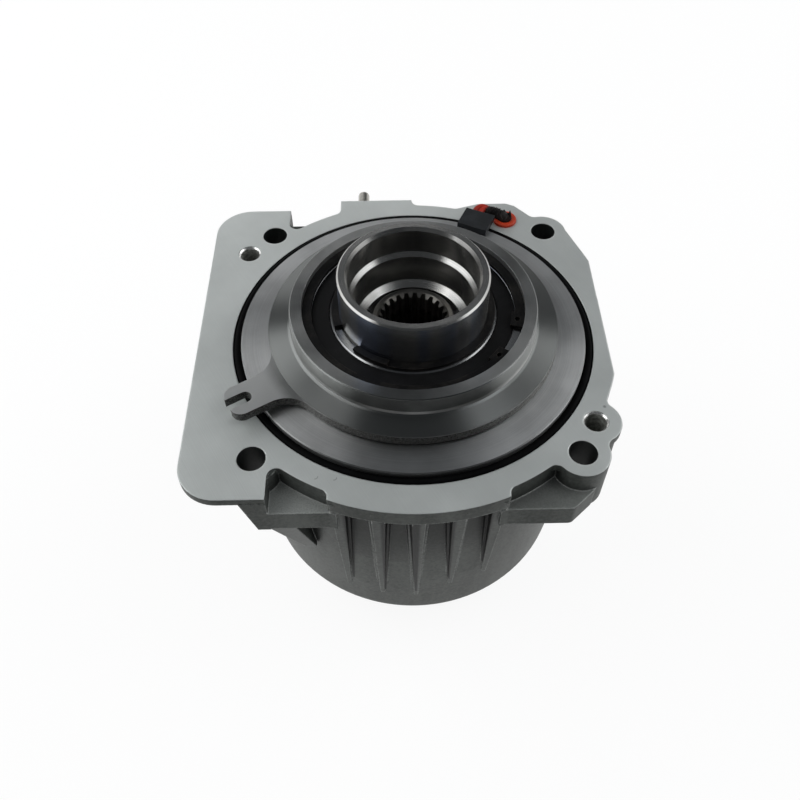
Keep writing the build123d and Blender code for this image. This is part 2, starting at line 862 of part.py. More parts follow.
def coil_bearing_parts():
    """Rings, balls, cage and shields of the sealed bearing under the coil carrier."""
    bottom = coil_bearing_top - coil_bearing_width
    inner_edge = hub_radius + coil_bearing_inner_wall
    outer_edge = coil_bearing_outer - coil_bearing_outer_wall
    middle = (inner_edge + outer_edge) / 2
    height = bottom + coil_bearing_width / 2
    inner = race_ring(hub_radius, inner_edge, middle, coil_ball_radius, bottom, coil_bearing_width)
    outer = race_ring(outer_edge, coil_bearing_outer, middle, coil_ball_radius, bottom, coil_bearing_width)
    save(inner, "coil_bearing_inner")
    save(outer, "coil_bearing_outer")
    save(ball_set(middle, height, coil_ball_radius, coil_ball_count), "coil_bearing_balls")
    save(ball_cage(middle, height, coil_ball_radius, coil_ball_count, coil_cage_height), "coil_bearing_cage")
    shield_outer = outer_edge
    shield_inner = inner_edge + shield_gap
    upper_top = coil_bearing_top - shield_inset
    upper = tube(shield_outer, shield_inner, upper_top - shield_thickness, upper_top)
    lower_bottom = bottom + shield_inset
    lower = tube(shield_outer, shield_inner, lower_bottom, lower_bottom + shield_thickness)
    save(Compound(children=[upper, lower]), "coil_bearing_shields")


def open_ring(inner, outer, start, end):
    """Flat ring with the stretch between two angles left open."""
    return Circle(outer) - Circle(inner) - sector(outer, start, end)


def hub_snap_ring():
    """Retaining ring in the hub groove above the bearing."""
    shape = open_ring(hub_ring_inner, hub_ring_outer, hub_ring_gap_start, hub_ring_gap_end)
    body = slab(shape, coil_bearing_top, coil_bearing_top + ring_thickness)
    lug_end = hub_ring_gap_end + hub_ring_lug_angle
    lug = Circle(hub_ring_outer + hub_ring_lug_overhang) - Circle(hub_radius + hub_ring_lug_gap)
    lug = lug & sector(hub_ring_outer, hub_ring_gap_end, lug_end)
    top = coil_bearing_top + ring_thickness + hub_ring_lug_reach
    return body + slab(lug, coil_bearing_top + ring_thickness, top)


def yoke_snap_ring():
    """Retaining ring in the coil carrier's bore with two eyed ends."""
    shape = open_ring(yoke_ring_inner, yoke_ring_outer, yoke_ring_gap_start, yoke_ring_gap_end)
    eye_inner = yoke_ring_inner - yoke_ring_lug_reach
    for start in (yoke_ring_gap_end, yoke_ring_gap_start - yoke_ring_lug_angle):
        end = start + yoke_ring_lug_angle
        eye = Circle(coil_bearing_outer - eye_gap) - Circle(eye_inner)
        eye = eye & sector(coil_bearing_outer, start, end)
        middle = radians((start + end) / 2)
        eye_radius = (eye_inner + coil_bearing_outer - eye_gap) / 2
        place = Pos(eye_radius * cos(middle), eye_radius * sin(middle))
        shape = shape + eye - place * Circle(ring_hole_radius)
    return slab(shape, coil_bearing_top, coil_bearing_top + ring_thickness)


# Coil carrier

def arm_shape():
    """Base plate of the coil carrier with the slotted anti-rotation arm."""
    arm_length = arm_tip_radius - arm_root_radius
    arm = Pos(arm_root_radius + arm_length / 2, 0) * Rectangle(arm_length, 2 * arm_half_width)
    arm = fillet(arm.vertices().group_by(Axis.X)[-1], arm_tip_round)
    shape = Circle(yoke_plate_radius) + arm
    grown = offset(shape, amount=arm_blend, kind=Kind.ARC)
    shape = offset(grown, amount=-arm_blend, kind=Kind.ARC)
    slot_length = arm_tip_radius - arm_slot_end + 2.0
    slot = Pos(arm_slot_end + slot_length / 2, 0) * Rectangle(slot_length, arm_slot_width)
    slot = slot + Pos(arm_slot_end, 0) * Circle(arm_slot_width / 2)
    return Rot(0, 0, arm_angle) * (shape - slot)


def yoke():
    """Steel coil carrier: bearing seat, magnet channel, base plate and arm."""
    bearing_bottom = coil_bearing_top - coil_bearing_width
    groove_top = coil_bearing_top + ring_thickness + ring_groove_play
    outer_groove = yoke_ring_outer + ring_groove_play
    bore = coil_bearing_outer + seat_clearance
    body = turned([
        (yoke_shelf_radius, bearing_bottom),
        (bore, bearing_bottom),
        (bore, coil_bearing_top),
        (outer_groove, coil_bearing_top),
        (outer_groove, groove_top),
        (bore, groove_top),
        (bore, yoke_top),
        (yoke_top_radius - yoke_edge, yoke_top),
        (yoke_top_radius, yoke_top - yoke_edge),
        (yoke_top_radius, yoke_neck_bottom + yoke_neck_blend),
        (yoke_top_radius + yoke_neck_blend * 0.3, yoke_neck_bottom + yoke_neck_blend * 0.3),
        (yoke_top_radius + yoke_neck_blend, yoke_neck_bottom),
        (yoke_plate_radius - 0.3, yoke_plate_top),
        (yoke_body_radius, yoke_plate_bottom),
        (yoke_body_radius, yoke_body_bottom),
        (coil_channel_outer, yoke_body_bottom),
        (coil_channel_outer, coil_channel_top),
        (coil_channel_inner, coil_channel_top),
        (coil_channel_inner, yoke_body_bottom),
        (yoke_inner_radius, yoke_body_bottom),
        (yoke_inner_radius, yoke_shelf_top),
        (yoke_shelf_radius, yoke_shelf_top),
    ])
    plate = slab(arm_shape() - Circle(yoke_body_radius - 2.0), yoke_plate_bottom, yoke_plate_top)
    body = body + plate
    notch_middle = (coil_channel_outer + yoke_body_radius) / 2
    notch = Pos(notch_middle, 0) * Rectangle(lead_notch_depth, lead_notch_width)
    return body - at_angle(lead_angle) * slab(notch, lead_notch_bottom, lead_notch_top)


def coil_bobbin():
    """Moulded spool in the magnet channel, open toward the outside for the winding."""
    outer = coil_channel_outer - bobbin_play
    inner = coil_channel_inner + bobbin_play
    bottom = yoke_body_bottom + coil_inset
    return turned([
        (inner, bottom),
        (outer, bottom),
        (outer, bottom + bobbin_wall),
        (inner + bobbin_wall, bottom + bobbin_wall),
        (inner + bobbin_wall, coil_channel_top - bobbin_wall),
        (outer, coil_channel_top - bobbin_wall),
        (outer, coil_channel_top),
        (inner, coil_channel_top),
    ])


def coil_winding():
    """Copper winding on the spool."""
    inner = coil_channel_inner + bobbin_play + bobbin_wall
    outer = coil_channel_outer - bobbin_play - 0.4
    bottom = yoke_body_bottom + coil_inset + bobbin_wall
    return tube(outer, inner, bottom, coil_channel_top - bobbin_wall)


# Drum and its bearing

def tabbed_ring(inner, outer, tab_radius, width, count, inward):
    """Flat clutch plate shape with driving tabs outside or inside."""
    shape = Circle(outer) - Circle(inner)
    for index in range(count):
        middle = (tab_radius + outer) / 2 - 0.5
        length = tab_radius - outer + 1.0
        if inward:
            middle = (tab_radius + inner) / 2 + 0.5
            length = inner - tab_radius + 1.0
        tab = Pos(middle, 0) * Rectangle(length, width)
        shape = shape + at_angle(360 * index / count) * tab
    return shape


def toothed_bore(root, tip, teeth):
    """Flat shape of an internally splined bore."""
    points = []
    pitch = 360 / teeth
    for index in range(teeth):
        base = index * pitch
        for share, radius in zip(spline_shares, (tip, tip, root, root)):
            angle = radians(base + share * pitch)
            points.append((radius * cos(angle), radius * sin(angle)))
    return make_face(Polyline(*points, close=True))


def drum():
    """Clutch drum with its bottom hub and the splined socket for the drive shaft."""
    bearing_top = drum_bearing_top
    lock_top = drum_bearing_top - drum_bearing_width
    body = turned([
        (0, drum_floor),
        (rim_radius, drum_floor),
        (rim_radius, drum_top),
        (drum_radius, drum_top),
        (drum_radius, drum_bottom + drum_edge),
        (drum_radius - drum_edge, drum_bottom),
        (drum_shoulder_radius, drum_bottom),
        (drum_shoulder_radius, bearing_top),
        (drum_bearing_bore, bearing_top),
        (drum_bearing_bore, lock_top),
        (drum_lock_inner, lock_top),
        (drum_lock_inner, lock_top - ring_thickness - ring_groove_play),
        (drum_bearing_bore, lock_top - ring_thickness - ring_groove_play),
        (drum_bearing_bore, drum_hub_bottom + drum_hub_edge),
        (drum_bearing_bore - drum_hub_edge, drum_hub_bottom),
        (0, drum_hub_bottom),
    ])
    for index in range(tab_count):
        groove = Pos((rim_radius + drum_tab_radius) / 2 - 0.5, 0)
        groove = groove * Rectangle(drum_tab_radius - rim_radius + 1.0, drum_tab_width)
        body = body - at_angle(360 * index / tab_count) * slab(groove, drum_floor, web_bottom)
    socket = toothed_bore(drum_spline_root, drum_spline_tip, drum_spline_teeth)
    body = body - slab(socket, drum_hub_bottom - 1.0, drum_hub_bottom + drum_spline_depth)
    pocket = Circle(bush_outer)
    return body - slab(pocket, journal_bottom - bush_rest_gap, drum_floor + 1.0)


def drum_bearing_parts():
    """Rings, balls, cage and retaining rings of the bottom bearing."""
    bottom = drum_bearing_top - drum_bearing_width
    inner_edge = drum_bearing_bore + drum_bearing_wall
    outer_edge = drum_bearing_outer - drum_bearing_wall
    middle = (inner_edge + outer_edge) / 2
    height = bottom + drum_bearing_width / 2
    inner = race_ring(drum_bearing_bore, inner_edge, middle, drum_ball_radius, bottom, drum_bearing_width)
    outer = race_ring(outer_edge, drum_bearing_outer, middle, drum_ball_radius, bottom, drum_bearing_width)
    save(inner, "drum_bearing_inner")
    save(outer, "drum_bearing_outer")
    save(ball_set(middle, height, drum_ball_radius, drum_ball_count), "drum_bearing_balls")
    save(ball_cage(middle, height, drum_ball_radius, drum_ball_count, drum_cage_height), "drum_bearing_cage")
    stop = open_ring(drum_ring_inner, drum_ring_outer, plain_ring_gap_start, plain_ring_gap_end)
    save(slab(stop, drum_bearing_top, drum_bearing_top + drum_ring_thickness), "housing_snap_ring")
    lock_inner = drum_lock_inner + ring_groove_play
    lock = open_ring(lock_inner, drum_lock_outer, plain_ring_gap_start, plain_ring_gap_end)
    save(slab(lock, bottom - ring_thickness, bottom), "drum_snap_ring")


def input_oil_seal():
    """Lip seal pressed into the bottom boss."""
    lip = drum_bearing_bore + oil_seal_lip_gap
    return turned([
        (lip, oil_seal_bottom + 3.0),
        (lip + 0.8, oil_seal_bottom + 1.5),
        (lip + 1.5, oil_seal_bottom + 1.5),
        (lip + 1.5, oil_seal_bottom),
        (oil_seal_outer, oil_seal_bottom),
        (oil_seal_outer, oil_seal_top),
        (oil_seal_outer - oil_seal_wall, oil_seal_top),
        (oil_seal_outer - oil_seal_wall, oil_seal_bottom + oil_seal_wall),
        (lip + 4.0, oil_seal_bottom + oil_seal_wall),
        (lip + 2.4, oil_seal_bottom + 5.5),
        (lip + 0.8, oil_seal_bottom + 5.5),
    ])


# Clutch shaft and what rides on it

def toothed_disc(radius, tooth_radius, width, count):
    """Flat round shape with straight teeth outside."""
    shape = Circle(radius)
    for index in range(count):
        tooth = Pos(tooth_radius / 2, 0) * Rectangle(tooth_radius, width)
        shape = shape + at_angle(360 * index / count) * tooth
    return shape


def clutch_shaft():
    """Hollow output shaft, splined inside for the pinion and outside for cam and plates."""
    body = turned([
        (0, journal_bottom),
        (journal_radius, journal_bottom),
        (journal_radius, clutch_hub_bottom),
        (clutch_hub_radius, clutch_hub_bottom),
        (clutch_hub_radius, clutch_hub_top),
        (shaft_radius, clutch_hub_top),
        (shaft_radius, shaft_top - shaft_edge),
        (shaft_radius - shaft_edge, shaft_top),
        (0, shaft_top),
    ])
    teeth = toothed_disc(shaft_radius, shaft_tooth_radius, shaft_tooth_width, shaft_tooth_count)
    body = body + slab(teeth, clutch_hub_top, shaft_tooth_top)
    for index in range(tab_count):
        middle = (clutch_hub_slot_radius + clutch_hub_radius) / 2 + 0.5
        slot = Rectangle(clutch_hub_radius - clutch_hub_slot_radius + 1.0, inner_tab_width + tab_play)
        slot = Pos(middle, 0) * slot
        turn = at_angle(360 * index / tab_count)
        body = body - turn * slab(slot, clutch_hub_bottom - 1.0, clutch_hub_top + 1.0)
    spline = toothed_bore(shaft_spline_root, shaft_spline_tip, shaft_spline_teeth)
    body = body - slab(spline, shaft_top - shaft_spline_depth, shaft_top + 1.0)
    mouth_radius = shaft_spline_root + shaft_mouth_reach
    above = shaft_top + 1.0
    mouth = turned([(0, above), (mouth_radius, above), (0, above - mouth_radius)])
    body = body - mouth
    relief = Circle(shaft_relief_radius)
    return body - slab(relief, shaft_relief_bottom, shaft_top - shaft_spline_depth + 1.0)


def return_spring():
    """Dished spring that pushes the main cam back up."""
    top = main_cam_bottom - spring_gap
    return turned([
        (spring_outer, clutch_hub_top),
        (spring_outer, clutch_hub_top + spring_thickness),
        (spring_inner, top),
        (spring_inner, top - spring_thickness),
    ])


def shaft_bush():
    """Bronze bush in the drum floor."""
    return tube(bush_outer, journal_radius + bush_clearance, journal_bottom - bush_rest_gap, drum_floor)


def needle_parts():
    """Drawn cup and rollers between hub and shaft."""
    bottom = needle_top - needle_length
    roller_middle = shaft_radius + needle_gap / 2 + needle_radius
    cup_inner = roller_middle + needle_radius + needle_gap / 2
    cup = turned([
        (cup_inner, bottom),
        (cup_inner, needle_top),
        (roller_middle, needle_top),
        (roller_middle, needle_top + cup_lip),
        (hub_inner_bore, needle_top + cup_lip),
        (hub_inner_bore, bottom),
    ])
    save(cup, "needle_cup")
    rollers = []
    height = bottom + needle_length / 2 - needle_end_gap
    for index in range(needle_count):
        angle = 2 * pi * index / needle_count
        place = Pos(roller_middle * cos(angle), roller_middle * sin(angle), height)
        rollers.append(place * Cylinder(needle_radius, needle_length - needle_end_play))
    save(Compound(children=rollers), "needle_rollers")


def main_plates():
    """Main clutch pack: plates driven by the drum and plates that drive the shaft, in turn."""
    outer_shape = tabbed_ring(outer_plate_inner_radius, rim_radius - tab_play, drum_tab_radius - tab_play,
                              drum_tab_width - 2 * tab_play, tab_count, False)
    inner_shape = tabbed_ring(clutch_hub_radius + tab_play, inner_plate_outer_radius,
                              clutch_hub_slot_radius + tab_play, inner_tab_width - tab_play, tab_count, True)
    outer = []
    inner = []
    for index in range(outer_plate_count):
        top = pack_top - index * plate_pitch
        outer.append(slab(outer_shape, top - main_plate_thickness, top))
        if index < outer_plate_count - 1:
            inner_top = top - main_plate_thickness - inner_plate_gap
            inner.append(slab(inner_shape, inner_top - main_plate_thickness, inner_top))
    save(Compound(children=outer), "drum_plates")
    save(Compound(children=inner), "shaft_plates")


def cam_grooves(level, upward):
    """Ball grooves cut into one cam face."""
    direction = 1 if upward else -1
    section = [
        (cam_ball_pitch_radius - cam_groove_top_half, level - direction * 0.01),
        (cam_ball_pitch_radius + cam_groove_top_half, level - direction * 0.01),
        (cam_ball_pitch_radius + cam_groove_floor_half, level + direction * cam_groove_depth),
        (cam_ball_pitch_radius - cam_groove_floor_half, level + direction * cam_groove_depth),
    ]
    profile = Plane.XZ * make_face(Polyline(*section, close=True))
    single = revolve(profile, axis=Axis.Z, revolution_arc=cam_groove_sweep)
    single = at_angle(-cam_groove_sweep / 2) * single
    grooves = [at_angle(360 * index / cam_ball_count) * single for index in range(cam_ball_count)]
    return grooves


def main_cam():
    """Pressure cam that slides on the shaft teeth and squeezes the main pack."""
    body = turned([
        (0, main_cam_bottom),
        (main_cam_radius, main_cam_bottom),
        (main_cam_radius, main_cam_flange_top),
        (main_cam_hub_radius, main_cam_flange_top),
        (main_cam_hub_radius, main_cam_top),
        (0, main_cam_top),
    ])
    bore = toothed_disc(shaft_radius + cam_slide_clearance, shaft_tooth_radius + cam_slide_clearance,
                        shaft_tooth_width + 2 * cam_slide_clearance, shaft_tooth_count)
    body = body - slab(bore, main_cam_bottom - 1.0, main_cam_top + 1.0)
    for groove in cam_grooves(main_cam_top, False):
        body = body - groove
    return body


def pilot_cam():
    """Small cam turned by the pilot plates."""
    shape = toothed_disc(pilot_cam_radius, pilot_tab_radius, pilot_tab_width, tab_count)
    shape = shape - Circle(shaft_radius + pilot_clearance)
    body = slab(shape, pilot_cam_bottom, pilot_cam_top)
    for groove in cam_grooves(pilot_cam_bottom, True):
        body = body - groove
    return body


def thrust_washer():
    """Hard washer between rotor and pilot cam."""
    return tube(washer_outer, washer_inner, pilot_cam_top + washer_gap, web_bottom)


def pilot_plates():
    """Thin plates the magnet squeezes: two driven by the drum, one that turns the pilot cam."""
    drum_shape = tabbed_ring(pilot_plate_inner_radius, rim_radius - tab_play, drum_tab_radius - tab_play,
                             drum_tab_width - 2 * tab_play, tab_count, False)
    cam_shape = Circle(pilot_plate_outer_radius)
    cam_bore = toothed_disc(pilot_cam_radius + tab_play, pilot_tab_radius + tab_play,
                            pilot_tab_width + 2 * tab_play, tab_count)
    cam_shape = cam_shape - cam_bore
    first = slab(drum_shape, pilot_plate_top - pilot_plate_thickness, pilot_plate_top)
    last_top = pilot_plate_top - 2 * pilot_plate_pitch
    last = slab(drum_shape, last_top - pilot_plate_thickness, last_top)
    save(Compound(children=[first, last]), "pilot_drum_plates")
    middle_top = pilot_plate_top - pilot_plate_pitch
    save(slab(cam_shape, middle_top - pilot_plate_thickness, middle_top), "pilot_cam_plate")


def armature():
    """Iron ring drawn toward the coil."""
    shape = tabbed_ring(armature_inner_radius, rim_radius - tab_play, drum_tab_radius - tab_play,
                        drum_tab_width - 2 * tab_play, tab_count, False)
    return slab(shape, armature_bottom, armature_top)


# Write every sub-part

os.makedirs("parts", exist_ok=True)
save(housing(), "housing")
save(cover_ring(), "cover_ring")
save(flange_o_ring(), "flange_o_ring")
save(breather(), "breather")
save(wire_grommet(), "wire_grommet")
save(wire_plug(), "wire_plug")
save(coil_lead(), "coil_lead")
save(lead_holder(), "lead_holder")
save(rotor_hub(), "rotor_hub")
save(flux_ring(), "flux_ring")
save(rotor_rim(), "rotor_rim")
coil_bearing_parts()
save(hub_snap_ring(), "hub_snap_ring")
save(yoke_snap_ring(), "yoke_snap_ring")
save(yoke(), "yoke")
save(coil_bobbin(), "coil_bobbin")
save(coil_winding(), "coil_winding")
save(drum(), "drum")
drum_bearing_parts()
save(input_oil_seal(), "input_oil_seal")
save(clutch_shaft(), "clutch_shaft")
save(return_spring(), "return_spring")
save(shaft_bush(), "shaft_bush")
needle_parts()
main_plates()
save(main_cam(), "main_cam")
save(pilot_cam(), "pilot_cam")
save(ball_set(cam_ball_pitch_radius, (main_cam_top + pilot_cam_bottom) / 2, cam_ball_radius, cam_ball_count),
     "cam_balls")
save(thrust_washer(), "thrust_washer")
pilot_plates()
save(armature(), "armature")
print("sub-parts written")
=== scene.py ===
import math

import bpy
from mathutils import Matrix, Vector


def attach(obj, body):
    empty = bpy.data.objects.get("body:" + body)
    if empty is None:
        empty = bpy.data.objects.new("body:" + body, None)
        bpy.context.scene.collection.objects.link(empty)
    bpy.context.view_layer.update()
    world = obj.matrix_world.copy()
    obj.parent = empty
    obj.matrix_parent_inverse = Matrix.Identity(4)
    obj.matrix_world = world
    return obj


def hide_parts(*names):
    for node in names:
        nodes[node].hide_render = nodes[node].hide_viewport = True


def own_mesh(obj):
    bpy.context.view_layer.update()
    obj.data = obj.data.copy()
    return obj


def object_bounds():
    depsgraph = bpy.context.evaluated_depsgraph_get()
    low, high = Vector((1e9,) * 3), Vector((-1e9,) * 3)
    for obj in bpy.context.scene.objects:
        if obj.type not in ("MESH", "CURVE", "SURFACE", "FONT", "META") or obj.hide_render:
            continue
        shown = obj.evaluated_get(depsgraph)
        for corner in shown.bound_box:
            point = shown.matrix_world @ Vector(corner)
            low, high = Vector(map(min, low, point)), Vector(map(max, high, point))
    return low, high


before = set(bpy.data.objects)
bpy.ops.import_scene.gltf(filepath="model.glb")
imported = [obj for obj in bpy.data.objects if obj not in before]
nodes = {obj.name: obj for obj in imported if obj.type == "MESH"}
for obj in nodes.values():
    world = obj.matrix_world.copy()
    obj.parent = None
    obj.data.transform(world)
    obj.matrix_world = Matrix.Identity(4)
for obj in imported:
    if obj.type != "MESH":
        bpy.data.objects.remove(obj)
cadBox = [list(corner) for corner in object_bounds()]
print("frame loaded:", len(nodes), "nodes")


# Camera and lamps

cameraSetup = {
    "place": (-0.00831, -0.23823, 0.26089),
    "pitch": 52.166,  # degrees below the horizon
    "yaw": 0.64,  # degrees to the right
    "roll": -0.516,
    "lens": 37.81,
    "sensor": 36.0,
    "clip": (0.01, 20),
}


def addCamera(setup):
    pitch, yaw, roll = (math.radians(setup[key]) for key in ("pitch", "yaw", "roll"))
    flat = math.cos(pitch)
    ahead = Vector((math.sin(yaw) * flat, math.cos(yaw) * flat, -math.sin(pitch)))
    level = Vector((math.cos(yaw), -math.sin(yaw), 0))
    upward = level.cross(ahead)
    right = level * math.cos(roll) + upward * math.sin(roll)
    top = upward * math.cos(roll) - level * math.sin(roll)
    turn = Matrix((right, top, -ahead)).transposed().to_4x4()
    bpy.ops.object.camera_add(location=(0, 0, 0))
    camera = bpy.context.object
    camera.name = "photoCamera"
    camera.matrix_world = Matrix.Translation(Vector(setup["place"])) @ turn
    camera.data.lens = setup["lens"]
    camera.data.sensor_width = setup["sensor"]
    camera.data.clip_start, camera.data.clip_end = setup["clip"]
    bpy.context.scene.camera = camera


lampSetup = {
    "aim": (0, 0, -0.04),
    "lamps": {
        "left": {"place": (-1.05, 0.15, 0.72), "size": (1.6, 0.8), "power": 8.0,
                 "colour": (0.99, 1.0, 1.0)},
        "right": {"place": (1.10, 0.20, 0.66), "size": (1.3, 0.7), "power": 5.2,
                  "colour": (0.99, 1.0, 1.0)},
        "overLeft": {"place": (-0.62, -0.02, 1.08), "size": (0.30, 0.50), "power": 0.8,
                     "colour": (1.0, 1.0, 1.0)},
        "overRight": {"place": (0.62, -0.02, 1.08), "size": (0.30, 0.50), "power": 0.9,
                      "colour": (0.96, 0.98, 1.0)},
        "back": {"place": (-0.30, 1.35, 0.62), "size": (1.0, 0.4), "power": 1.7,
                 "colour": (1.0, 1.0, 1.0)},
        "front": {"place": (-0.30, -1.30, 0.05), "size": (1.2, 0.4), "power": 0.42,
                  "colour": (1.0, 1.0, 1.0)},
    },
}


def addLamps(setup):
    for name, lamp in setup["lamps"].items():
        bpy.ops.object.light_add(type="AREA", location=lamp["place"])
        light = bpy.context.object
        light.name = name + "Lamp"
        light.data.shape = "RECTANGLE"
        light.data.size, light.data.size_y = lamp["size"]
        light.data.energy = lamp["power"]
        light.data.color = lamp["colour"]
        aim = Vector(setup["aim"]) - Vector(lamp["place"])
        light.rotation_euler = aim.to_track_quat("-Z", "Y").to_euler()


# Shader maths

def tone(red, green, blue):  # a colour as a screen shows it, 0 to 255, turned into light
    steps = [value / 255 for value in (red, green, blue)]
    lit = [v / 12.92 if v <= 0.04045 else ((v + 0.055) / 1.055) ** 2.4 for v in steps]
    return (*lit, 1.0)


def span(x, y):  # length of an offset in plan
    return (x * x + y * y) ** 0.5


class Wire:  # a socket that can stand in a sum
    def __init__(self, finish, socket):
        self.finish = finish
        self.socket = socket

    def join(self, operation, first, second=0.0):
        return self.finish.node("ShaderNodeMath", {"operation": operation}, {0: first, 1: second})

    def __add__(self, other): return self.join("ADD", self, other)
    def __radd__(self, other): return self.join("ADD", other, self)
    def __sub__(self, other): return self.join("SUBTRACT", self, other)
    def __rsub__(self, other): return self.join("SUBTRACT", other, self)
    def __mul__(self, other): return self.join("MULTIPLY", self, other)
    def __rmul__(self, other): return self.join("MULTIPLY", other, self)
    def __truediv__(self, other): return self.join("DIVIDE", self, other)
    def __rtruediv__(self, other): return self.join("DIVIDE", other, self)
    def __pow__(self, other): return self.join("POWER", self, other)
    def __abs__(self): return self.join("ABSOLUTE", self)
    def __gt__(self, other): return self.join("GREATER_THAN", self, other)
    def __lt__(self, other): return self.join("LESS_THAN", self, other)


class Nodes:  # the nodes of one material or of the world
    def __init__(self, tree):
        self.tree = tree

    def node(self, kind, settings=None, inputs=None, output=0):
        made = self.tree.nodes.new(kind)
        for key, value in (settings or {}).items():
            setattr(made, key, value)
        for key, value in (inputs or {}).items():
            self.plug(value, made.inputs[key])
        return Wire(self, made.outputs[output])

    def plug(self, value, socket):
        if isinstance(value, Wire):
            self.tree.links.new(value.socket, socket)
        else:
            socket.default_value = value

    def parts(self, vector):
        split = self.node("ShaderNodeSeparateXYZ", {}, {0: vector}).socket.node
        return [Wire(self, socket) for socket in split.outputs]

    def ease(self, value, low, high, start=0.0, end=1.0):  # smooth step between two numbers
        inputs = {"Value": value, "From Min": low, "From Max": high, "To Min": start, "To Max": end}
        return self.node("ShaderNodeMapRange", {"interpolation_type": "SMOOTHSTEP"}, inputs)

    def mix(self, share, first, second):
        inputs = {0: share, 6: first, 7: second}
        return self.node("ShaderNodeMix", {"data_type": "RGBA"}, inputs, output=2)

    def blend(self, share, first, second):  # mixes two shaders
        return self.node("ShaderNodeMixShader", {}, {0: share, 1: first, 2: second})

    def least(self, first, second):
        return self.node("ShaderNodeMath", {"operation": "MINIMUM"}, {0: first, 1: second})

    def most(self, first, second):
        return self.node("ShaderNodeMath", {"operation": "MAXIMUM"}, {0: first, 1: second})

    def ray(self, name):
        return self.node("ShaderNodeLightPath", output=name)

    def seen(self):  # 1 for rays that look, 0 for rays that light
        camera, glossy, through = (self.ray(name) for name in (
            "Is Camera Ray", "Is Glossy Ray", "Is Transmission Ray"))
        return self.least(camera + glossy + through, 1.0)


class Finish(Nodes):  # one material
    def __init__(self, name, **values):
        self.material = bpy.data.materials.new(name)
        self.material.use_nodes = True
        super().__init__(self.material.node_tree)
        self.shader = self.tree.nodes["Principled BSDF"]
        self.give(**values)

    def give(self, **values):  # the shader's own socket names, with _ for each space
        for key, value in values.items():
            self.plug(value, self.shader.inputs[key.replace("_", " ")])

    def place(self):
        return self.node("ShaderNodeTexCoord", output="Object")

    def facing(self):
        return self.node("ShaderNodeTexCoord", output="Normal")

    def noise(self, scale, detail=3.0, roughness=0.55, vector=None):
        inputs = {"Vector": vector or self.place(), "Scale": scale, "Detail": detail,
                  "Roughness": roughness}
        return self.node("ShaderNodeTexNoise", {}, inputs)

    def stretched(self, scale):
        return self.node("ShaderNodeMapping", {}, {"Vector": self.place(), "Scale": scale})

    def lines(self, value, scale, detail=3.0):  # noise along one number
        inputs = {"W": value, "Scale": scale, "Detail": detail, "Roughness": 0.6}
        return self.node("ShaderNodeTexNoise", {"noise_dimensions": "1D"}, inputs)

    def nicks(self, scale, size, share):  # scattered small dents
        inputs = {"Vector": self.place(), "Scale": scale}
        far = self.node("ShaderNodeTexVoronoi", {}, inputs, output="Distance")
        pick = self.parts(self.node("ShaderNodeTexVoronoi", {}, inputs, output="Color"))[0]
        return self.ease(far, size, size * 0.4) * (pick > 1 - share)

    def openness(self, reach):  # 1 in the open, less in a corner
        settings = {"samples": 6}
        return self.node("ShaderNodeAmbientOcclusion", settings, {"Distance": reach}, output="AO")

    def bump(self, height, distance, strength=1.0, under=None):
        inputs = {"Height": height, "Distance": distance, "Strength": strength}
        if under:
            inputs["Normal"] = under
        return self.node("ShaderNodeBump", {}, inputs)

    def rounded(self, width):  # the normal with its edges eased
        return self.node("ShaderNodeBevel", {"samples": 4}, {"Radius": width})

    def edges(self, eased):  # 1 where an edge is near
        flat = self.node("ShaderNodeNewGeometry", output="Normal")
        settings = {"operation": "DOT_PRODUCT"}
        same = self.node("ShaderNodeVectorMath", settings, {0: eased, 1: flat}, output="Value")
        return self.ease(same, 0.995, 0.88)


# Cast aluminium of the housing, milled on the flange and turned in the mouth

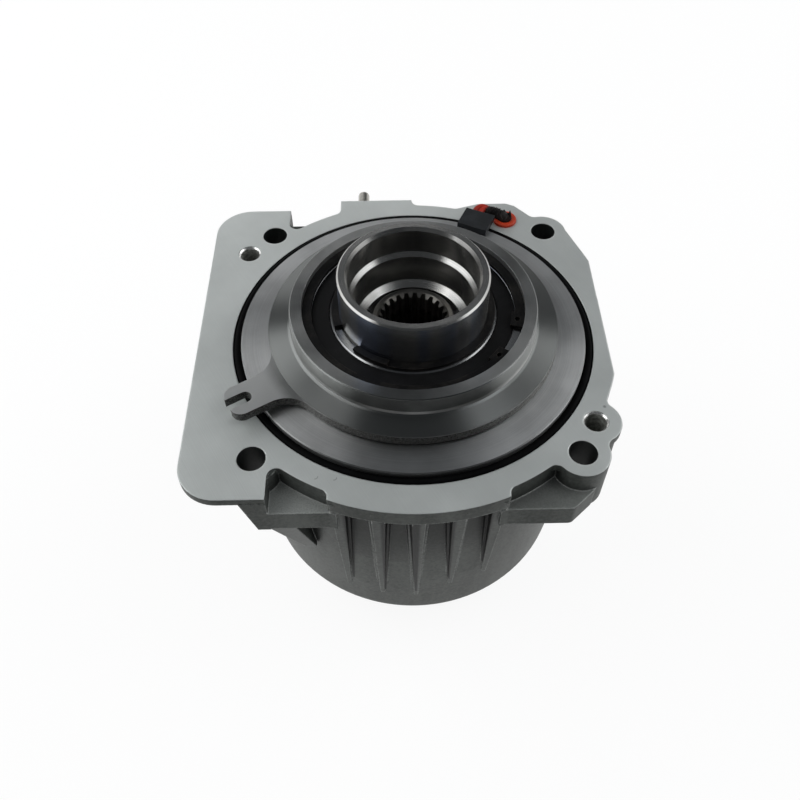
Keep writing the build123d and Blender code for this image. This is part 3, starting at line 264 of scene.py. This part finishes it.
castSetup = {
    "milled": tone(222, 226, 224),
    "milledDark": tone(206, 210, 208),
    "milledRough": 0.40,
    "milledSpread": (0.35, 0.68),  # noise values that turn from the dark tone to the pale one
    "cast": tone(98, 101, 98),
    "castDark": tone(60, 63, 60),
    "castRough": 0.50,
    "castSpread": (0.32, 0.66),
    "metal": 0.42,
    "milledMetal": 0.18,  # added on milled places
    "gloss": 0.3,
    "blotch": 22,  # patterns, from broad to fine, per metre
    "flow": 70,
    "flowStretch": (1.0, 1.0, 0.12),
    "fine": 700,
    "grit": 1800,
    "grain": 0.00007,  # height of the cast skin
    "edge": 0.0009,  # radius of its eased edges
    "worn": tone(140, 143, 140),  # those edges
    "wornSpread": (0.3, 0.6),
    "flat": 0.8,  # a normal steeper than this counts as level
    "faceDepth": 0.0002,
    # painted shade in the o-ring groove beside the ring
    "groove": tone(30, 31, 31),
    "grooveRadius": 0.0751,
    "grooveDepth": 0.0046,
    "mouthRadius": 0.0712,
    "mouthDepth": 0.010,
    "footDepth": 0.1310,
    # painted shade, laid in the corners and in the slots beside the ribs
    "paintedShade": tone(20, 21, 20),
    "creviceReach": 0.007,
    "creviceSpread": (0.85, 0.35),
    "creviceShadeShare": 0.55,
    # where the painted shadow beside the ribs lies, and how dark it is
    "bowlTop": 0.0824,  # radius of the bowl's wall at the face
    "draft": 0.0928,
    "wallSlots": {"depths": (-0.0006, -0.0022), "top": -0.0074, "foot": -0.060, "share": 0.7},
    "slots": ((-0.0263, -0.0278, 0.0860), (-0.0119, -0.0138, 0.0914), (-0.0019, -0.0001, 0.0887),
              (0.0112, 0.0141, 0.0779), (0.0258, 0.0285, 0.0701)),  # x at top and foot, depth
    "slotTop": 0.0075,
    "slotWidth": 0.0021,
    "slotTip": 0.0004,
    "slotSpread": (1.3, 0.6),
    "slotFront": -0.05,
    "slotShadeShare": 0.92,
    "pocket": tone(176, 179, 176),  # floors of the front pockets, painted light
    "pocketDepth": 0.0100,
    "pocketBand": 0.0014,
    "pocketFront": -0.03,
    "pocketFlat": 0.6,
    "pocketFade": (0.04, -0.03, 0.35, 1.0),  # painted light, from the right to the left pocket
    "pocketGrit": (0.2, 0.7, 0.5, 1.0),
    "rim": tone(206, 208, 205),  # painted highlight on the front edge of those floors
    "rimBand": 0.0012,
    "rimSpread": (0.3, 0.6),
    # painted shade on the walls of the bolt bores
    "bore": tone(34, 37, 36),
    "boreDepth": 0.0003,
    "boreRadius": 0.0064,
    "boltOffset": 0.062147,
    "dowel": tone(176, 177, 172),
    "dowelDark": tone(112, 113, 108),
    "dowelSpread": (0.4, 0.6),
    "dowels": ((-0.0728, 0.0502), (0.0693, -0.0477)),
    "dowelRadius": 0.0052,
    "dowelDepths": (0.0001, 0.021),
    "chamfer": tone(246, 246, 244),
    "chamferDepth": 0.0010,
    "chamferPolish": 0.5,  # smoother and more metallic by this
    "scars": ((-0.0379, -0.0707), (-0.0309, -0.0713)),  # crescent dents near the front pocket
    "scarRadius": 0.0009,
    "scarWidth": (0.0003, 0.0001),
    "scarSide": 0.0006,
    "scarShare": 0.8,
    "nicks": {"scale": 95, "size": 0.10, "share": 0.12},
    "nickDark": 0.5,
    "nickDepth": 0.00008,
    "scratches": 2600,  # per metre, across their direction
    "scratchWay": (0.86, 0.5),
    "scratchDepth": 0.000006,
}


def slotShade(made, setup, x, y, z):  # the deep shadow beside each rib
    walls = setup["wallSlots"]
    wall = span(x, y) - (setup["bowlTop"] + z * setup["draft"])
    slot = made.ease(wall, *walls["depths"]) * (z < walls["top"]) * (z > walls["foot"])
    slot = slot * walls["share"]
    for topX, footX, depth in setup["slots"]:
        along = (-setup["slotTop"] - z) / (depth - setup["slotTop"])
        off = abs(x - topX - along * (footX - topX))
        width = setup["slotWidth"] * (1 - along) + setup["slotTip"]
        band = made.ease(off / width, *setup["slotSpread"])
        slot = made.most(slot, band * (along > 0) * (along < 1))
    return slot * (y < setup["slotFront"])


def dowelHoles(setup, x, y, z):
    top, foot = setup["dowelDepths"]
    holes = 0.0
    for holeX, holeY in setup["dowels"]:
        inside = span(x - holeX, y - holeY) < setup["dowelRadius"]
        holes = holes + inside * (z < -top) * (z > -foot)
    return holes


def surfaceNicks(made, setup, x, y):
    nick = made.nicks(**setup["nicks"])
    for scarX, scarY in setup["scars"]:
        offX = x - scarX
        offY = y - scarY
        ring = made.ease(abs(span(offX, offY) - setup["scarRadius"]), *setup["scarWidth"])
        nick = made.most(nick, ring * (offX - offY > setup["scarSide"]) * setup["scarShare"])
    return nick


def castAluminium(setup):
    made = Finish("castAluminium", Specular_IOR_Level=setup["gloss"])
    x, y, z = made.parts(made.place())
    up = made.parts(made.facing())[2]
    radius = span(x, y)
    eased = made.rounded(setup["edge"])
    rim = made.edges(eased)
    blotch = made.noise(setup["blotch"], detail=4)
    flow = made.noise(setup["flow"], detail=4, vector=made.stretched(setup["flowStretch"]))
    fine = made.noise(setup["fine"], detail=4, roughness=0.6)
    grit = made.noise(setup["grit"], detail=3, roughness=0.7)
    scratchX, scratchY = setup["scratchWay"]
    scratch = made.lines(x * scratchX + y * scratchY, setup["scratches"], detail=2)
    nick = surfaceNicks(made, setup, x, y)

    # where the tools have been
    face = (z > -setup["faceDepth"]) * (up > setup["flat"])
    groove = (radius < setup["grooveRadius"]) * (z > -setup["grooveDepth"])
    mouth = (radius < setup["mouthRadius"]) * (z > -setup["mouthDepth"])
    foot = (z < -setup["footDepth"]) * (up < -setup["flat"])
    milled = made.least(face + groove + mouth + foot, 1.0)
    boltX = abs(x) - setup["boltOffset"]
    boltY = abs(y) - setup["boltOffset"]
    bore = (span(boltX, boltY) < setup["boreRadius"]) * (z < -setup["boreDepth"])
    dowel = dowelHoles(setup, x, y, z)
    chamfer = z > -setup["chamferDepth"]

    # rough skin: painted shade in the corners, worn edges, painted shadow in the slots
    skin = made.ease(flow * 0.45 + fine * 0.35 + blotch * 0.20, *setup["castSpread"])
    cast = made.mix(skin, setup["castDark"], setup["cast"])
    # painted shade: darker where corners close in
    crevice = made.ease(made.openness(setup["creviceReach"]), *setup["creviceSpread"])
    cast = made.mix(crevice * setup["creviceShadeShare"], cast, setup["paintedShade"])
    cast = made.mix(rim * made.ease(fine, *setup["wornSpread"]), cast, setup["worn"])
    # painted shadow beside each rib
    cast = made.mix(slotShade(made, setup, x, y, z) * setup["slotShadeShare"], cast, setup["paintedShade"])

    # front pockets with painted light on their floors and a painted highlight on their front rims,
    # bolt holes with painted shade, and dowel holes
    low = abs(z + setup["pocketDepth"])
    front = y < setup["pocketFront"]
    # painted light on the pocket floors, stronger on the left
    pocket = (low < setup["pocketBand"]) * (up > setup["pocketFlat"]) * front
    pocket = pocket * made.ease(x, *setup["pocketFade"]) * made.ease(grit, *setup["pocketGrit"])
    cast = made.mix(pocket, cast, setup["pocket"])
    # painted shade in the bolt bores
    cast = made.mix(bore, cast, setup["bore"])
    # painted highlight along the front edge of the pocket floors
    pocketHighlight = rim * (low < setup["rimBand"]) * front * made.ease(grit, *setup["rimSpread"])
    cast = made.mix(pocketHighlight, cast, setup["rim"])
    drilled = made.ease(flow * 0.5 + fine * 0.5, *setup["dowelSpread"])
    drilled = made.mix(drilled, setup["dowelDark"], setup["dowel"])
    drilled = made.mix(chamfer, drilled, setup["chamfer"])
    cast = made.mix(dowel, cast, drilled)

    # milled face over it, with its nicks
    bare = made.ease(blotch * 0.8 + scratch * 0.2, *setup["milledSpread"])
    shade = made.mix(milled, cast, made.mix(bare, setup["milledDark"], setup["milled"]))
    # painted shade in the o-ring groove, below the face
    shade = made.mix(groove * (z < -setup["faceDepth"]), shade, setup["groove"])
    made.give(Base_Color=made.mix(nick * milled * setup["nickDark"], shade, setup["bore"]))

    chamfer = dowel * chamfer
    cloud = made.noise(setup["flow"], detail=5)
    milledRough = setup["milledRough"] + 0.10 * (cloud - 0.5) + 0.06 * (scratch - 0.5)
    castRough = setup["castRough"] + 0.22 * (grit - 0.5) + 0.10 * (flow - 0.5)
    rough = castRough * (1 - milled) + milledRough * milled
    polish = setup["chamferPolish"] * chamfer
    made.give(Roughness=rough * (1 - polish))
    made.give(Metallic=setup["metal"] + setup["milledMetal"] * milled + polish)

    coarse = made.bump(fine * 0.7 + grit * 0.3, setup["grain"], 0.85 - 0.82 * milled, under=eased)
    marks = made.bump(scratch, setup["scratchDepth"], 0.5 * milled, under=coarse)
    made.give(Normal=made.bump(1 - nick, setup["nickDepth"], 0.7 * milled, under=marks))
    return made.material


# Turned and ground steels, and the bronze bush

steelSetup = {
    "coverRing": {
        "tone": tone(222, 223, 223), "dark": tone(198, 199, 199), "rough": 0.38,
        "pitch": 2600, "depth": 0.000002, "sheen": 0.82,
        "brim": tone(146, 147, 147), "brimFrom": 0.0710,  # painted shade on its outer edge and shoulder beside the o-ring
    },
    "hubSteel": {
        "tone": tone(195, 194, 191), "dark": tone(168, 168, 167), "rough": 0.22,
        "pitch": 3200, "depth": 0.0000008, "sheen": 0.8, "face": 0.03,  # face: added on flats
        "blueReflection": tone(152, 160, 180), "blueReflectionFrom": 0.0292,  # painted blue-grey reflection on its outer wall
    },
    "bearingSteel": {
        "tone": tone(176, 177, 178), "dark": tone(150, 151, 153), "rough": 0.24,
        "pitch": 3000, "depth": 0.000001, "sheen": 0.7,
    },
    "hardenedSteel": {
        "tone": tone(150, 148, 144), "dark": tone(98, 96, 92), "rough": 0.34,
        "pitch": 1800, "depth": 0.000004, "sheen": 0.5,
    },
    "turnedSteel": {
        "tone": tone(168, 168, 167), "dark": tone(126, 126, 125), "rough": 0.34,
        "pitch": 1600, "depth": 0.000005, "sheen": 0.75,
    },
    "frictionSteel": {
        "tone": tone(112, 104, 94), "dark": tone(70, 64, 56), "rough": 0.46,
        "pitch": 1200, "depth": 0.00001, "sheen": 0.3,
    },
    "stainlessSteel": {
        "tone": tone(184, 182, 176), "dark": tone(146, 144, 138), "rough": 0.30,
        "pitch": 1800, "depth": 0.000004, "sheen": 0.4,
    },
    "bronze": {
        "tone": tone(176, 130, 76), "dark": tone(124, 88, 48), "rough": 0.34,
        "pitch": 1400, "depth": 0.000006, "sheen": 0.4,
    },
}
toolSetup = {
    "turn": 0.25,  # a quarter turn lays the sheen across the tool lines
    "broad": 0.12,  # pitch of the wide lines, as a share of the fine ones'
    "stain": 40,
    "spread": (0.36, 0.62),
    "reflectionPatch": 1.6,  # patches of painted blue reflection round the wall, per radian
    "reflectionPatchSpread": (0.42, 0.62),
}


def toolPath(made, radius, z, up):  # tool lines follow the radius on flats, the height on walls
    return radius * made.ease(up, 0.3, 0.5) + z * made.ease(up, 0.5, 0.3)


def turnedMetal(name, setup, tools):
    made = Finish(name, Metallic=1.0, Anisotropic=setup["sheen"],
                  Anisotropic_Rotation=tools["turn"])
    x, y, z = made.parts(made.place())
    up = abs(made.parts(made.facing())[2])
    radius = span(x, y)
    across = toolPath(made, radius, z, up)
    tool = made.lines(across, setup["pitch"])
    broad = made.lines(across, setup["pitch"] * tools["broad"], detail=2)
    stain = made.noise(tools["stain"], detail=5)
    share = made.ease(tool * 0.2 + broad * 0.2 + stain * 0.6, *tools["spread"])
    shade = made.mix(share, setup["dark"], setup["tone"])
    if "blueReflection" in setup:  # painted blue-grey reflection in patches round the outer wall
        angle = made.node("ShaderNodeMath", {"operation": "ARCTAN2"}, {0: y, 1: x})
        reflectionPatch = made.ease(made.lines(angle, tools["reflectionPatch"], detail=2), *tools["reflectionPatchSpread"])
        reflectionPatch = reflectionPatch * (radius > setup["blueReflectionFrom"]) * made.ease(up, 0.5, 0.3)
        shade = made.mix(reflectionPatch, shade, setup["blueReflection"])
    # painted shade on the ring's outer edge and shoulder
    if "brim" in setup:
        shade = made.mix(radius > setup["brimFrom"], shade, setup["brim"])
    made.give(Base_Color=shade)
    face = setup.get("face", 0.0) * made.ease(up, 0.5, 0.8)
    made.give(Roughness=setup["rough"] + 0.10 * (stain - 0.5) + 0.04 * (tool - 0.5) + face)
    made.give(Normal=made.bump(tool + 0.4 * broad, setup["depth"]))
    return made.material


# Steel of the coil carrier: turned, with a sheared outline and arm

carrierSetup = {
    "tone": tone(182, 183, 182),
    "dark": tone(146, 147, 146),
    "spread": (0.36, 0.64),
    # painted shade on the sloped faces of the cone
    "bevel": tone(124, 126, 125),
    "level": (0.992, 0.982),  # normals between level and upright get the painted shade of the bevel
    "upright": (0.4, 0.6),
    "rubbed": 0.8,  # its edges
    "arm": tone(222, 223, 222),
    "armFrom": (0.0600, 0.0660),
    "plateRadius": 0.0572,  # the sheared edge lies outside it
    "sheared": tone(128, 128, 126),
    "torn": tone(66, 66, 65),
    "tornSize": 1700,
    "tornSpread": (0.35, 0.65),
    "tornDepth": 0.00022,
    "edge": 0.0002,
    "rough": 0.30,
    "sheen": 0.85,
    "pitch": 2400,
    "depth": 0.000001,
    "stain": 34,
}


def coilCarrier(setup, tools):
    made = Finish("coilCarrier", Metallic=1.0, Anisotropic=setup["sheen"],
                  Anisotropic_Rotation=tools["turn"])
    x, y, z = made.parts(made.place())
    up = made.parts(made.facing())[2]
    radius = span(x, y)
    sheared = (radius > setup["plateRadius"]) * (abs(up) < setup["upright"][0])
    tool = made.lines(toolPath(made, radius, z, abs(up)), setup["pitch"])
    stain = made.noise(setup["stain"], detail=5)
    grain = made.noise(setup["tornSize"], detail=3, roughness=0.7)
    eased = made.rounded(setup["edge"])
    share = made.ease(tool * 0.12 + stain * 0.88, *setup["spread"])
    turned = made.mix(share, setup["dark"], setup["tone"])
    # painted shade: sloped faces darker than level ones
    slope = made.ease(up, *setup["level"]) * made.ease(up, *setup["upright"])
    turned = made.mix(slope, turned, setup["bevel"])
    turned = made.mix(made.ease(radius, *setup["armFrom"]), turned, setup["arm"])
    turned = made.mix(made.edges(eased) * setup["rubbed"], turned, setup["tone"])
    torn = made.mix(made.ease(grain, *setup["tornSpread"]), setup["torn"], setup["sheared"])
    made.give(Base_Color=made.mix(sheared, turned, torn))
    made.give(Roughness=setup["rough"] + 0.12 * (stain - 0.5) + 0.2 * sheared)
    marks = made.bump(tool, setup["depth"], 1.0 - sheared, under=eased)
    made.give(Normal=made.bump(grain, setup["tornDepth"], sheared, under=marks))
    return made.material


# Phosphated rings, rubber, plastic, cloth, silicone, insulation and the coil's copper

plainSetup = {
    "springSteel": {
        "tone": tone(20, 20, 21), "worn": tone(48, 46, 43), "rough": 0.44, "metal": 0.5,
        "grain": 0.00002, "size": 900, "edge": 0.0002, "edgeTone": tone(92, 88, 82),
    },
    "rubber": {
        "tone": tone(5, 5, 6), "worn": tone(12, 12, 13), "rough": 0.60, "metal": 0.0,
        "grain": 0.00002, "size": 900, "edge": 0.0002, "edgeTone": tone(20, 20, 21), "gloss": 0.05,
    },
    "shieldRubber": {
        "tone": tone(15, 15, 16), "worn": tone(26, 26, 27), "rough": 0.50, "metal": 0.0,
        "grain": 0.00002, "size": 900, "edge": 0.0002, "edgeTone": tone(34, 34, 35), "gloss": 0.16,
    },
    "plastic": {
        "tone": tone(24, 27, 30), "worn": tone(38, 41, 45), "rough": 0.50, "metal": 0.0,
        "grain": 0.00003, "size": 1200, "edge": 0.0003, "edgeTone": tone(62, 63, 64),
    },
    "weave": {
        "tone": tone(14, 12, 12), "worn": tone(52, 44, 42), "rough": 0.62, "metal": 0.0,
        "grain": 0.00025, "size": 1500, "edge": 0.0002, "edgeTone": tone(70, 64, 62),
    },
    "silicone": {
        "tone": tone(188, 60, 32), "worn": tone(146, 42, 22), "rough": 0.40, "metal": 0.0,
        "grain": 0.00003, "size": 800, "edge": 0.0003, "edgeTone": tone(214, 84, 44),
    },
    "insulation": {
        "tone": tone(168, 44, 28), "worn": tone(104, 26, 18), "rough": 0.42, "metal": 0.0,
        "grain": 0.00002, "size": 900, "edge": 0.0002, "edgeTone": tone(200, 70, 40),
    },
    "copper": {
        "tone": tone(150, 74, 32), "worn": tone(92, 40, 18), "rough": 0.30, "metal": 0.8,
        "grain": 0.00006, "size": 500, "edge": 0.0002, "edgeTone": tone(170, 90, 44),
    },
}


def plainFinish(name, setup):
    made = Finish(name, Metallic=setup["metal"], Specular_IOR_Level=setup.get("gloss", 0.25))
    broad = made.noise(setup["size"] * 0.12, detail=4)
    grain = made.noise(setup["size"], detail=4, roughness=0.65)
    eased = made.rounded(setup["edge"])
    share = made.ease(broad * 0.7 + grain * 0.3, 0.42, 0.72)
    body = made.mix(share, setup["tone"], setup["worn"])
    rubbed = made.edges(eased) * made.ease(broad, 0.4, 0.6)
    made.give(Base_Color=made.mix(rubbed, body, setup["edgeTone"]))
    made.give(Roughness=setup["rough"] + 0.2 * (grain - 0.5))
    made.give(Normal=made.bump(grain, setup["grain"], 0.8, under=eased))
    return made.material


# Which node gets which finish

nodeFinish = {
    "castAluminium": ["housing"],
    "coverRing": ["cover_ring"],
    "coilCarrier": ["yoke"],
    "hubSteel": ["rotor_hub", "rotor_rim"],
    "bearingSteel": ["coil_bearing_inner", "coil_bearing_outer", "coil_bearing_balls",
                     "drum_bearing_inner", "drum_bearing_outer", "drum_bearing_balls",
                     "needle_cup", "needle_rollers", "cam_balls", "thrust_washer"],
    "hardenedSteel": ["clutch_shaft", "main_cam", "pilot_cam", "return_spring"],
    "turnedSteel": ["drum", "armature", "coil_bearing_cage", "drum_bearing_cage"],
    "frictionSteel": ["drum_plates", "shaft_plates", "pilot_drum_plates", "pilot_cam_plate"],
    "stainlessSteel": ["flux_ring", "breather"],
    "bronze": ["shaft_bush"],
    "springSteel": ["hub_snap_ring", "yoke_snap_ring", "housing_snap_ring", "drum_snap_ring"],
    "rubber": ["flange_o_ring", "input_oil_seal"],
    "shieldRubber": ["coil_bearing_shields"],
    "plastic": ["lead_holder", "wire_plug", "coil_bobbin"],
    "silicone": ["wire_grommet"],
    "insulation": ["coil_lead"],
    "copper": ["coil_winding"],
}

finishes = {
    "castAluminium": castAluminium(castSetup),
    "coilCarrier": coilCarrier(carrierSetup, toolSetup),
}
for finishName, finishSetup in steelSetup.items():
    finishes[finishName] = turnedMetal(finishName, finishSetup, toolSetup)
for finishName, finishSetup in plainSetup.items():
    finishes[finishName] = plainFinish(finishName, finishSetup)
for finishName, names in nodeFinish.items():
    for name in names:
        for slot in nodes[name].material_slots:
            slot.material = finishes[finishName]
missing = set(nodes) - {name for names in nodeFinish.values() for name in names}
print("finishes given, nodes without one:", sorted(missing))


# Return spring (in the real part it flattens as the pressure cam comes down): a welded copy that
# rides with the output shaft

springSetup = {
    "merge": 0.000001,
    "anchor": (0, 0, -0.0482),  # the face it stands on
    "travel": 0.0008,
}


def addSpring(setup):
    source = nodes["return_spring"]
    bpy.ops.object.select_all(action="DESELECT")
    source.select_set(True)
    bpy.context.view_layer.objects.active = source
    bpy.ops.object.duplicate()
    spring = bpy.context.object
    spring.name = "discSpring"
    bpy.ops.object.mode_set(mode="EDIT")
    bpy.ops.mesh.select_all(action="SELECT")
    bpy.ops.mesh.remove_doubles(threshold=setup["merge"])
    bpy.ops.object.mode_set(mode="OBJECT")
    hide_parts("return_spring")
    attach(spring, "output_shaft")
    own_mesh(spring)


# Seal of the wire passage: twin lead, woven sleeve, silicone collar and frayed cuff

smoothAngle = math.radians(40)  # sharper edges than this stay sharp


def pathPiece(name, points, thickness, shares=(1, 1, 1, 1, 1)):  # a round run along five points
    bpy.ops.object.select_all(action="DESELECT")
    bpy.ops.curve.primitive_nurbs_path_add(location=(0, 0, 0))
    piece = bpy.context.object
    piece.name = name
    for point, place, share in zip(piece.data.splines[0].points, points, shares):
        point.co = (*place, 1)
        point.radius = share
    piece.data.bevel_depth = thickness
    piece.data.bevel_resolution = 4
    piece.data.use_fill_caps = True
    bpy.ops.object.convert(target="MESH")
    return bpy.context.object


def selectPoints(piece, test):  # picks the points that a test names, then opens the mesh
    bpy.ops.object.mode_set(mode="EDIT")
    bpy.ops.mesh.select_mode(type="VERT")
    bpy.ops.mesh.select_all(action="DESELECT")
    bpy.ops.object.mode_set(mode="OBJECT")
    for index, point in enumerate(piece.data.vertices):
        point.select = test(index, point.co)
    bpy.ops.object.mode_set(mode="EDIT")


def finishPiece(piece, finish):
    bpy.ops.object.mode_set(mode="OBJECT")
    bpy.ops.object.shade_smooth_by_angle(angle=smoothAngle)
    piece.data.materials.clear()
    piece.data.materials.append(finishes[finish])
    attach(piece, "case")


leadSetup = {
    "thickness": 0.0014,
    "runs": (
        ((0.0300, 0.0700, 0.0030), (0.0314, 0.0750, 0.0028), (0.0336, 0.0776, 0.0070),
         (0.0385, 0.0738, 0.0032), (0.0436, 0.0712, 0.0004)),
        ((0.0325, 0.0690, 0.0030), (0.0338, 0.0736, 0.0028), (0.0354, 0.0760, 0.0064),
         (0.0400, 0.0730, 0.0028), (0.0450, 0.0704, 0.0004)),
    ),
}


def addLeads(setup):
    runs = [pathPiece("twinLead", points, setup["thickness"]) for points in setup["runs"]]
    bpy.ops.object.select_all(action="DESELECT")
    for run in runs:
        run.select_set(True)
    bpy.context.view_layer.objects.active = runs[0]
    bpy.ops.object.join()
    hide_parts("coil_lead")
    finishPiece(runs[0], "insulation")


sleeveSetup = {
    "thickness": 0.0020,
    "path": ((0.0362, 0.0740, 0.0034), (0.0384, 0.0733, 0.0034), (0.0408, 0.0723, 0.0032),
             (0.0432, 0.0714, 0.0026), (0.0446, 0.0710, 0.0002)),
    "shares": (0.9, 1.05, 1.15, 1.4, 1.5),  # of the thickness, at each point
    "strands": 3,
    "strandEvery": 7,
    "strandsAbove": 0.004,
    "strandLean": 0.0002,
    "strandRise": 0.0004,
}


def addSleeve(setup):
    sleeve = pathPiece("wovenSleeve", setup["path"], setup["thickness"], setup["shares"])
    every, above, lean = setup["strandEvery"], setup["strandsAbove"], setup["strandLean"]
    for part in range(setup["strands"]):  # frayed strands stand off the tube
        selectPoints(sleeve, lambda index, place: index % every == 2 * part and place.z > above)
        bpy.ops.transform.translate(value=(lean * part - lean, -lean, setup["strandRise"] * part))
        bpy.ops.object.mode_set(mode="OBJECT")
    finishPiece(sleeve, "weave")


collarSetup = {
    "place": (0.0451, 0.0706, 0.0006),
    "radius": 0.0042,
    "thickness": 0.0013,
    "height": 0.6,  # share of the round ring's own
}


def addCollar(setup):
    bpy.ops.object.select_all(action="DESELECT")
    bpy.ops.mesh.primitive_torus_add(major_radius=setup["radius"], minor_radius=setup["thickness"],
                                     major_segments=48, minor_segments=16, location=(0, 0, 0))
    collar = bpy.context.object
    collar.name = "sealCollar"
    bpy.ops.object.mode_set(mode="EDIT")
    bpy.ops.mesh.select_all(action="SELECT")
    bpy.ops.transform.resize(value=(1, 1, setup["height"]))
    bpy.ops.transform.translate(value=setup["place"])
    finishPiece(collar, "silicone")


cuffSetup = {
    "place": (0.0451, 0.0706, 0.0016),
    "radius": 0.0030,
    "height": 0.0020,
    "points": 22,
    "rises": (0.0011, -0.0006, 0.0018),  # of the teeth
    "lean": (-0.0002, 0.0003),
    "toothEvery": 5,
    "thickness": 0.00045,
}


def addCuff(setup):
    bpy.ops.object.select_all(action="DESELECT")
    bpy.ops.mesh.primitive_cylinder_add(vertices=setup["points"], radius=setup["radius"],
                                        depth=setup["height"], end_fill_type="NOTHING",
                                        location=(0, 0, 0))
    cuff = bpy.context.object
    cuff.name = "frayedCuff"
    every = setup["toothEvery"]
    for part, rise in enumerate(setup["rises"]):  # uneven teeth round the upper edge
        selectPoints(cuff, lambda index, place: place.z > 0 and (index // 2) % every == 2 * part)
        bpy.ops.transform.translate(value=(*setup["lean"], rise))
        bpy.ops.object.mode_set(mode="OBJECT")
    selectPoints(cuff, lambda index, place: True)
    bpy.ops.mesh.subdivide(number_cuts=1)
    bpy.ops.transform.translate(value=setup["place"])
    bpy.ops.object.mode_set(mode="OBJECT")
    wall = cuff.modifiers.new("wall", "SOLIDIFY")
    wall.thickness = setup["thickness"]
    bpy.ops.object.modifier_apply(modifier=wall.name)
    finishPiece(cuff, "weave")


addSpring(springSetup)
addLeads(leadSetup)
addSleeve(sleeveSetup)
addCollar(collarSetup)
addCuff(cuffSetup)
print("seal of the wire passage modelled")


# Floor and world

floorSetup = {
    "level": cadBox[0][2] - 0.00005,  # just under the foot
    "size": 8.0,
    "tone": tone(232, 232, 232),
    "glow": 1.05,
    "glowShare": 0.86,  # the rest keeps the shadow
    "nearGlow": 0.06,  # what metal mirrors of the paper's near side
    "nearSide": (0.0, -0.3),
    "nearShare": 0.8,
}


def addFloor(setup):  # the paper glows for rays that look, and keeps a soft shadow
    bpy.ops.mesh.primitive_plane_add(size=setup["size"], location=(0, 0, setup["level"]))
    floor = bpy.context.object
    floor.name = "floor"
    made = Finish("floorPaper", Base_Color=setup["tone"], Roughness=1.0, Specular_IOR_Level=0.0)
    white = (1, 1, 1, 1)
    paper = Wire(made, made.shader.outputs[0])
    glow = made.node("ShaderNodeEmission", {}, {"Color": white, "Strength": setup["glow"]})
    dim = made.node("ShaderNodeEmission", {}, {"Color": white, "Strength": setup["nearGlow"]})
    clear = made.node("ShaderNodeBsdfTransparent")
    near = made.ease(made.parts(made.place())[1], *setup["nearSide"]) * made.ray("Is Glossy Ray")
    under = made.node("ShaderNodeNewGeometry", output="Backfacing")  # from below the part shows
    shown = made.blend(made.seen() * setup["glowShare"], paper, glow)
    shown = made.blend(near * setup["nearShare"], shown, dim)
    shown = made.blend(under, shown, clear)
    made.plug(shown, made.tree.nodes["Material Output"].inputs["Surface"])
    floor.data.materials.append(made.material)


worldSetup = {
    "light": (0.95, 0.98, 1.0, 1.0),
    "strength": 0.35,
    "paper": (1, 1, 1, 1),
    "ceiling": tone(84, 86, 88),
    "rise": (0.10, 0.36),  # how steeply up it begins and is full
    "near": tone(60, 62, 64),
    "nearSide": (0.0, -0.6),
}


def addWorld(setup):  # pale all round, with a dim ceiling and near side in what metal mirrors
    world = bpy.data.worlds.new("studio")
    bpy.context.scene.world = world
    world.use_nodes = True
    made = Nodes(world.node_tree)
    depth, height = made.parts(made.node("ShaderNodeTexCoord", output="Generated"))[1:]
    mirrored = 1 - made.ray("Is Camera Ray")
    room = made.mix(made.ease(height, *setup["rise"]) * mirrored, setup["paper"], setup["ceiling"])
    room = made.mix(made.ease(depth, *setup["nearSide"]) * mirrored, room, setup["near"])
    lit = {"Color": setup["light"], "Strength": setup["strength"]}
    light = made.node("ShaderNodeBackground", {}, lit)
    shown = made.node("ShaderNodeBackground", {}, {"Color": room, "Strength": 1.0})
    both = made.blend(made.seen(), light, shown)
    made.plug(both, made.tree.nodes["World Output"].inputs["Surface"])


addCamera(cameraSetup)
addLamps(lampSetup)
addFloor(floorSetup)
addWorld(worldSetup)
bpy.context.scene.view_settings.view_transform = "Standard"
print("camera, lamps, floor and world placed")
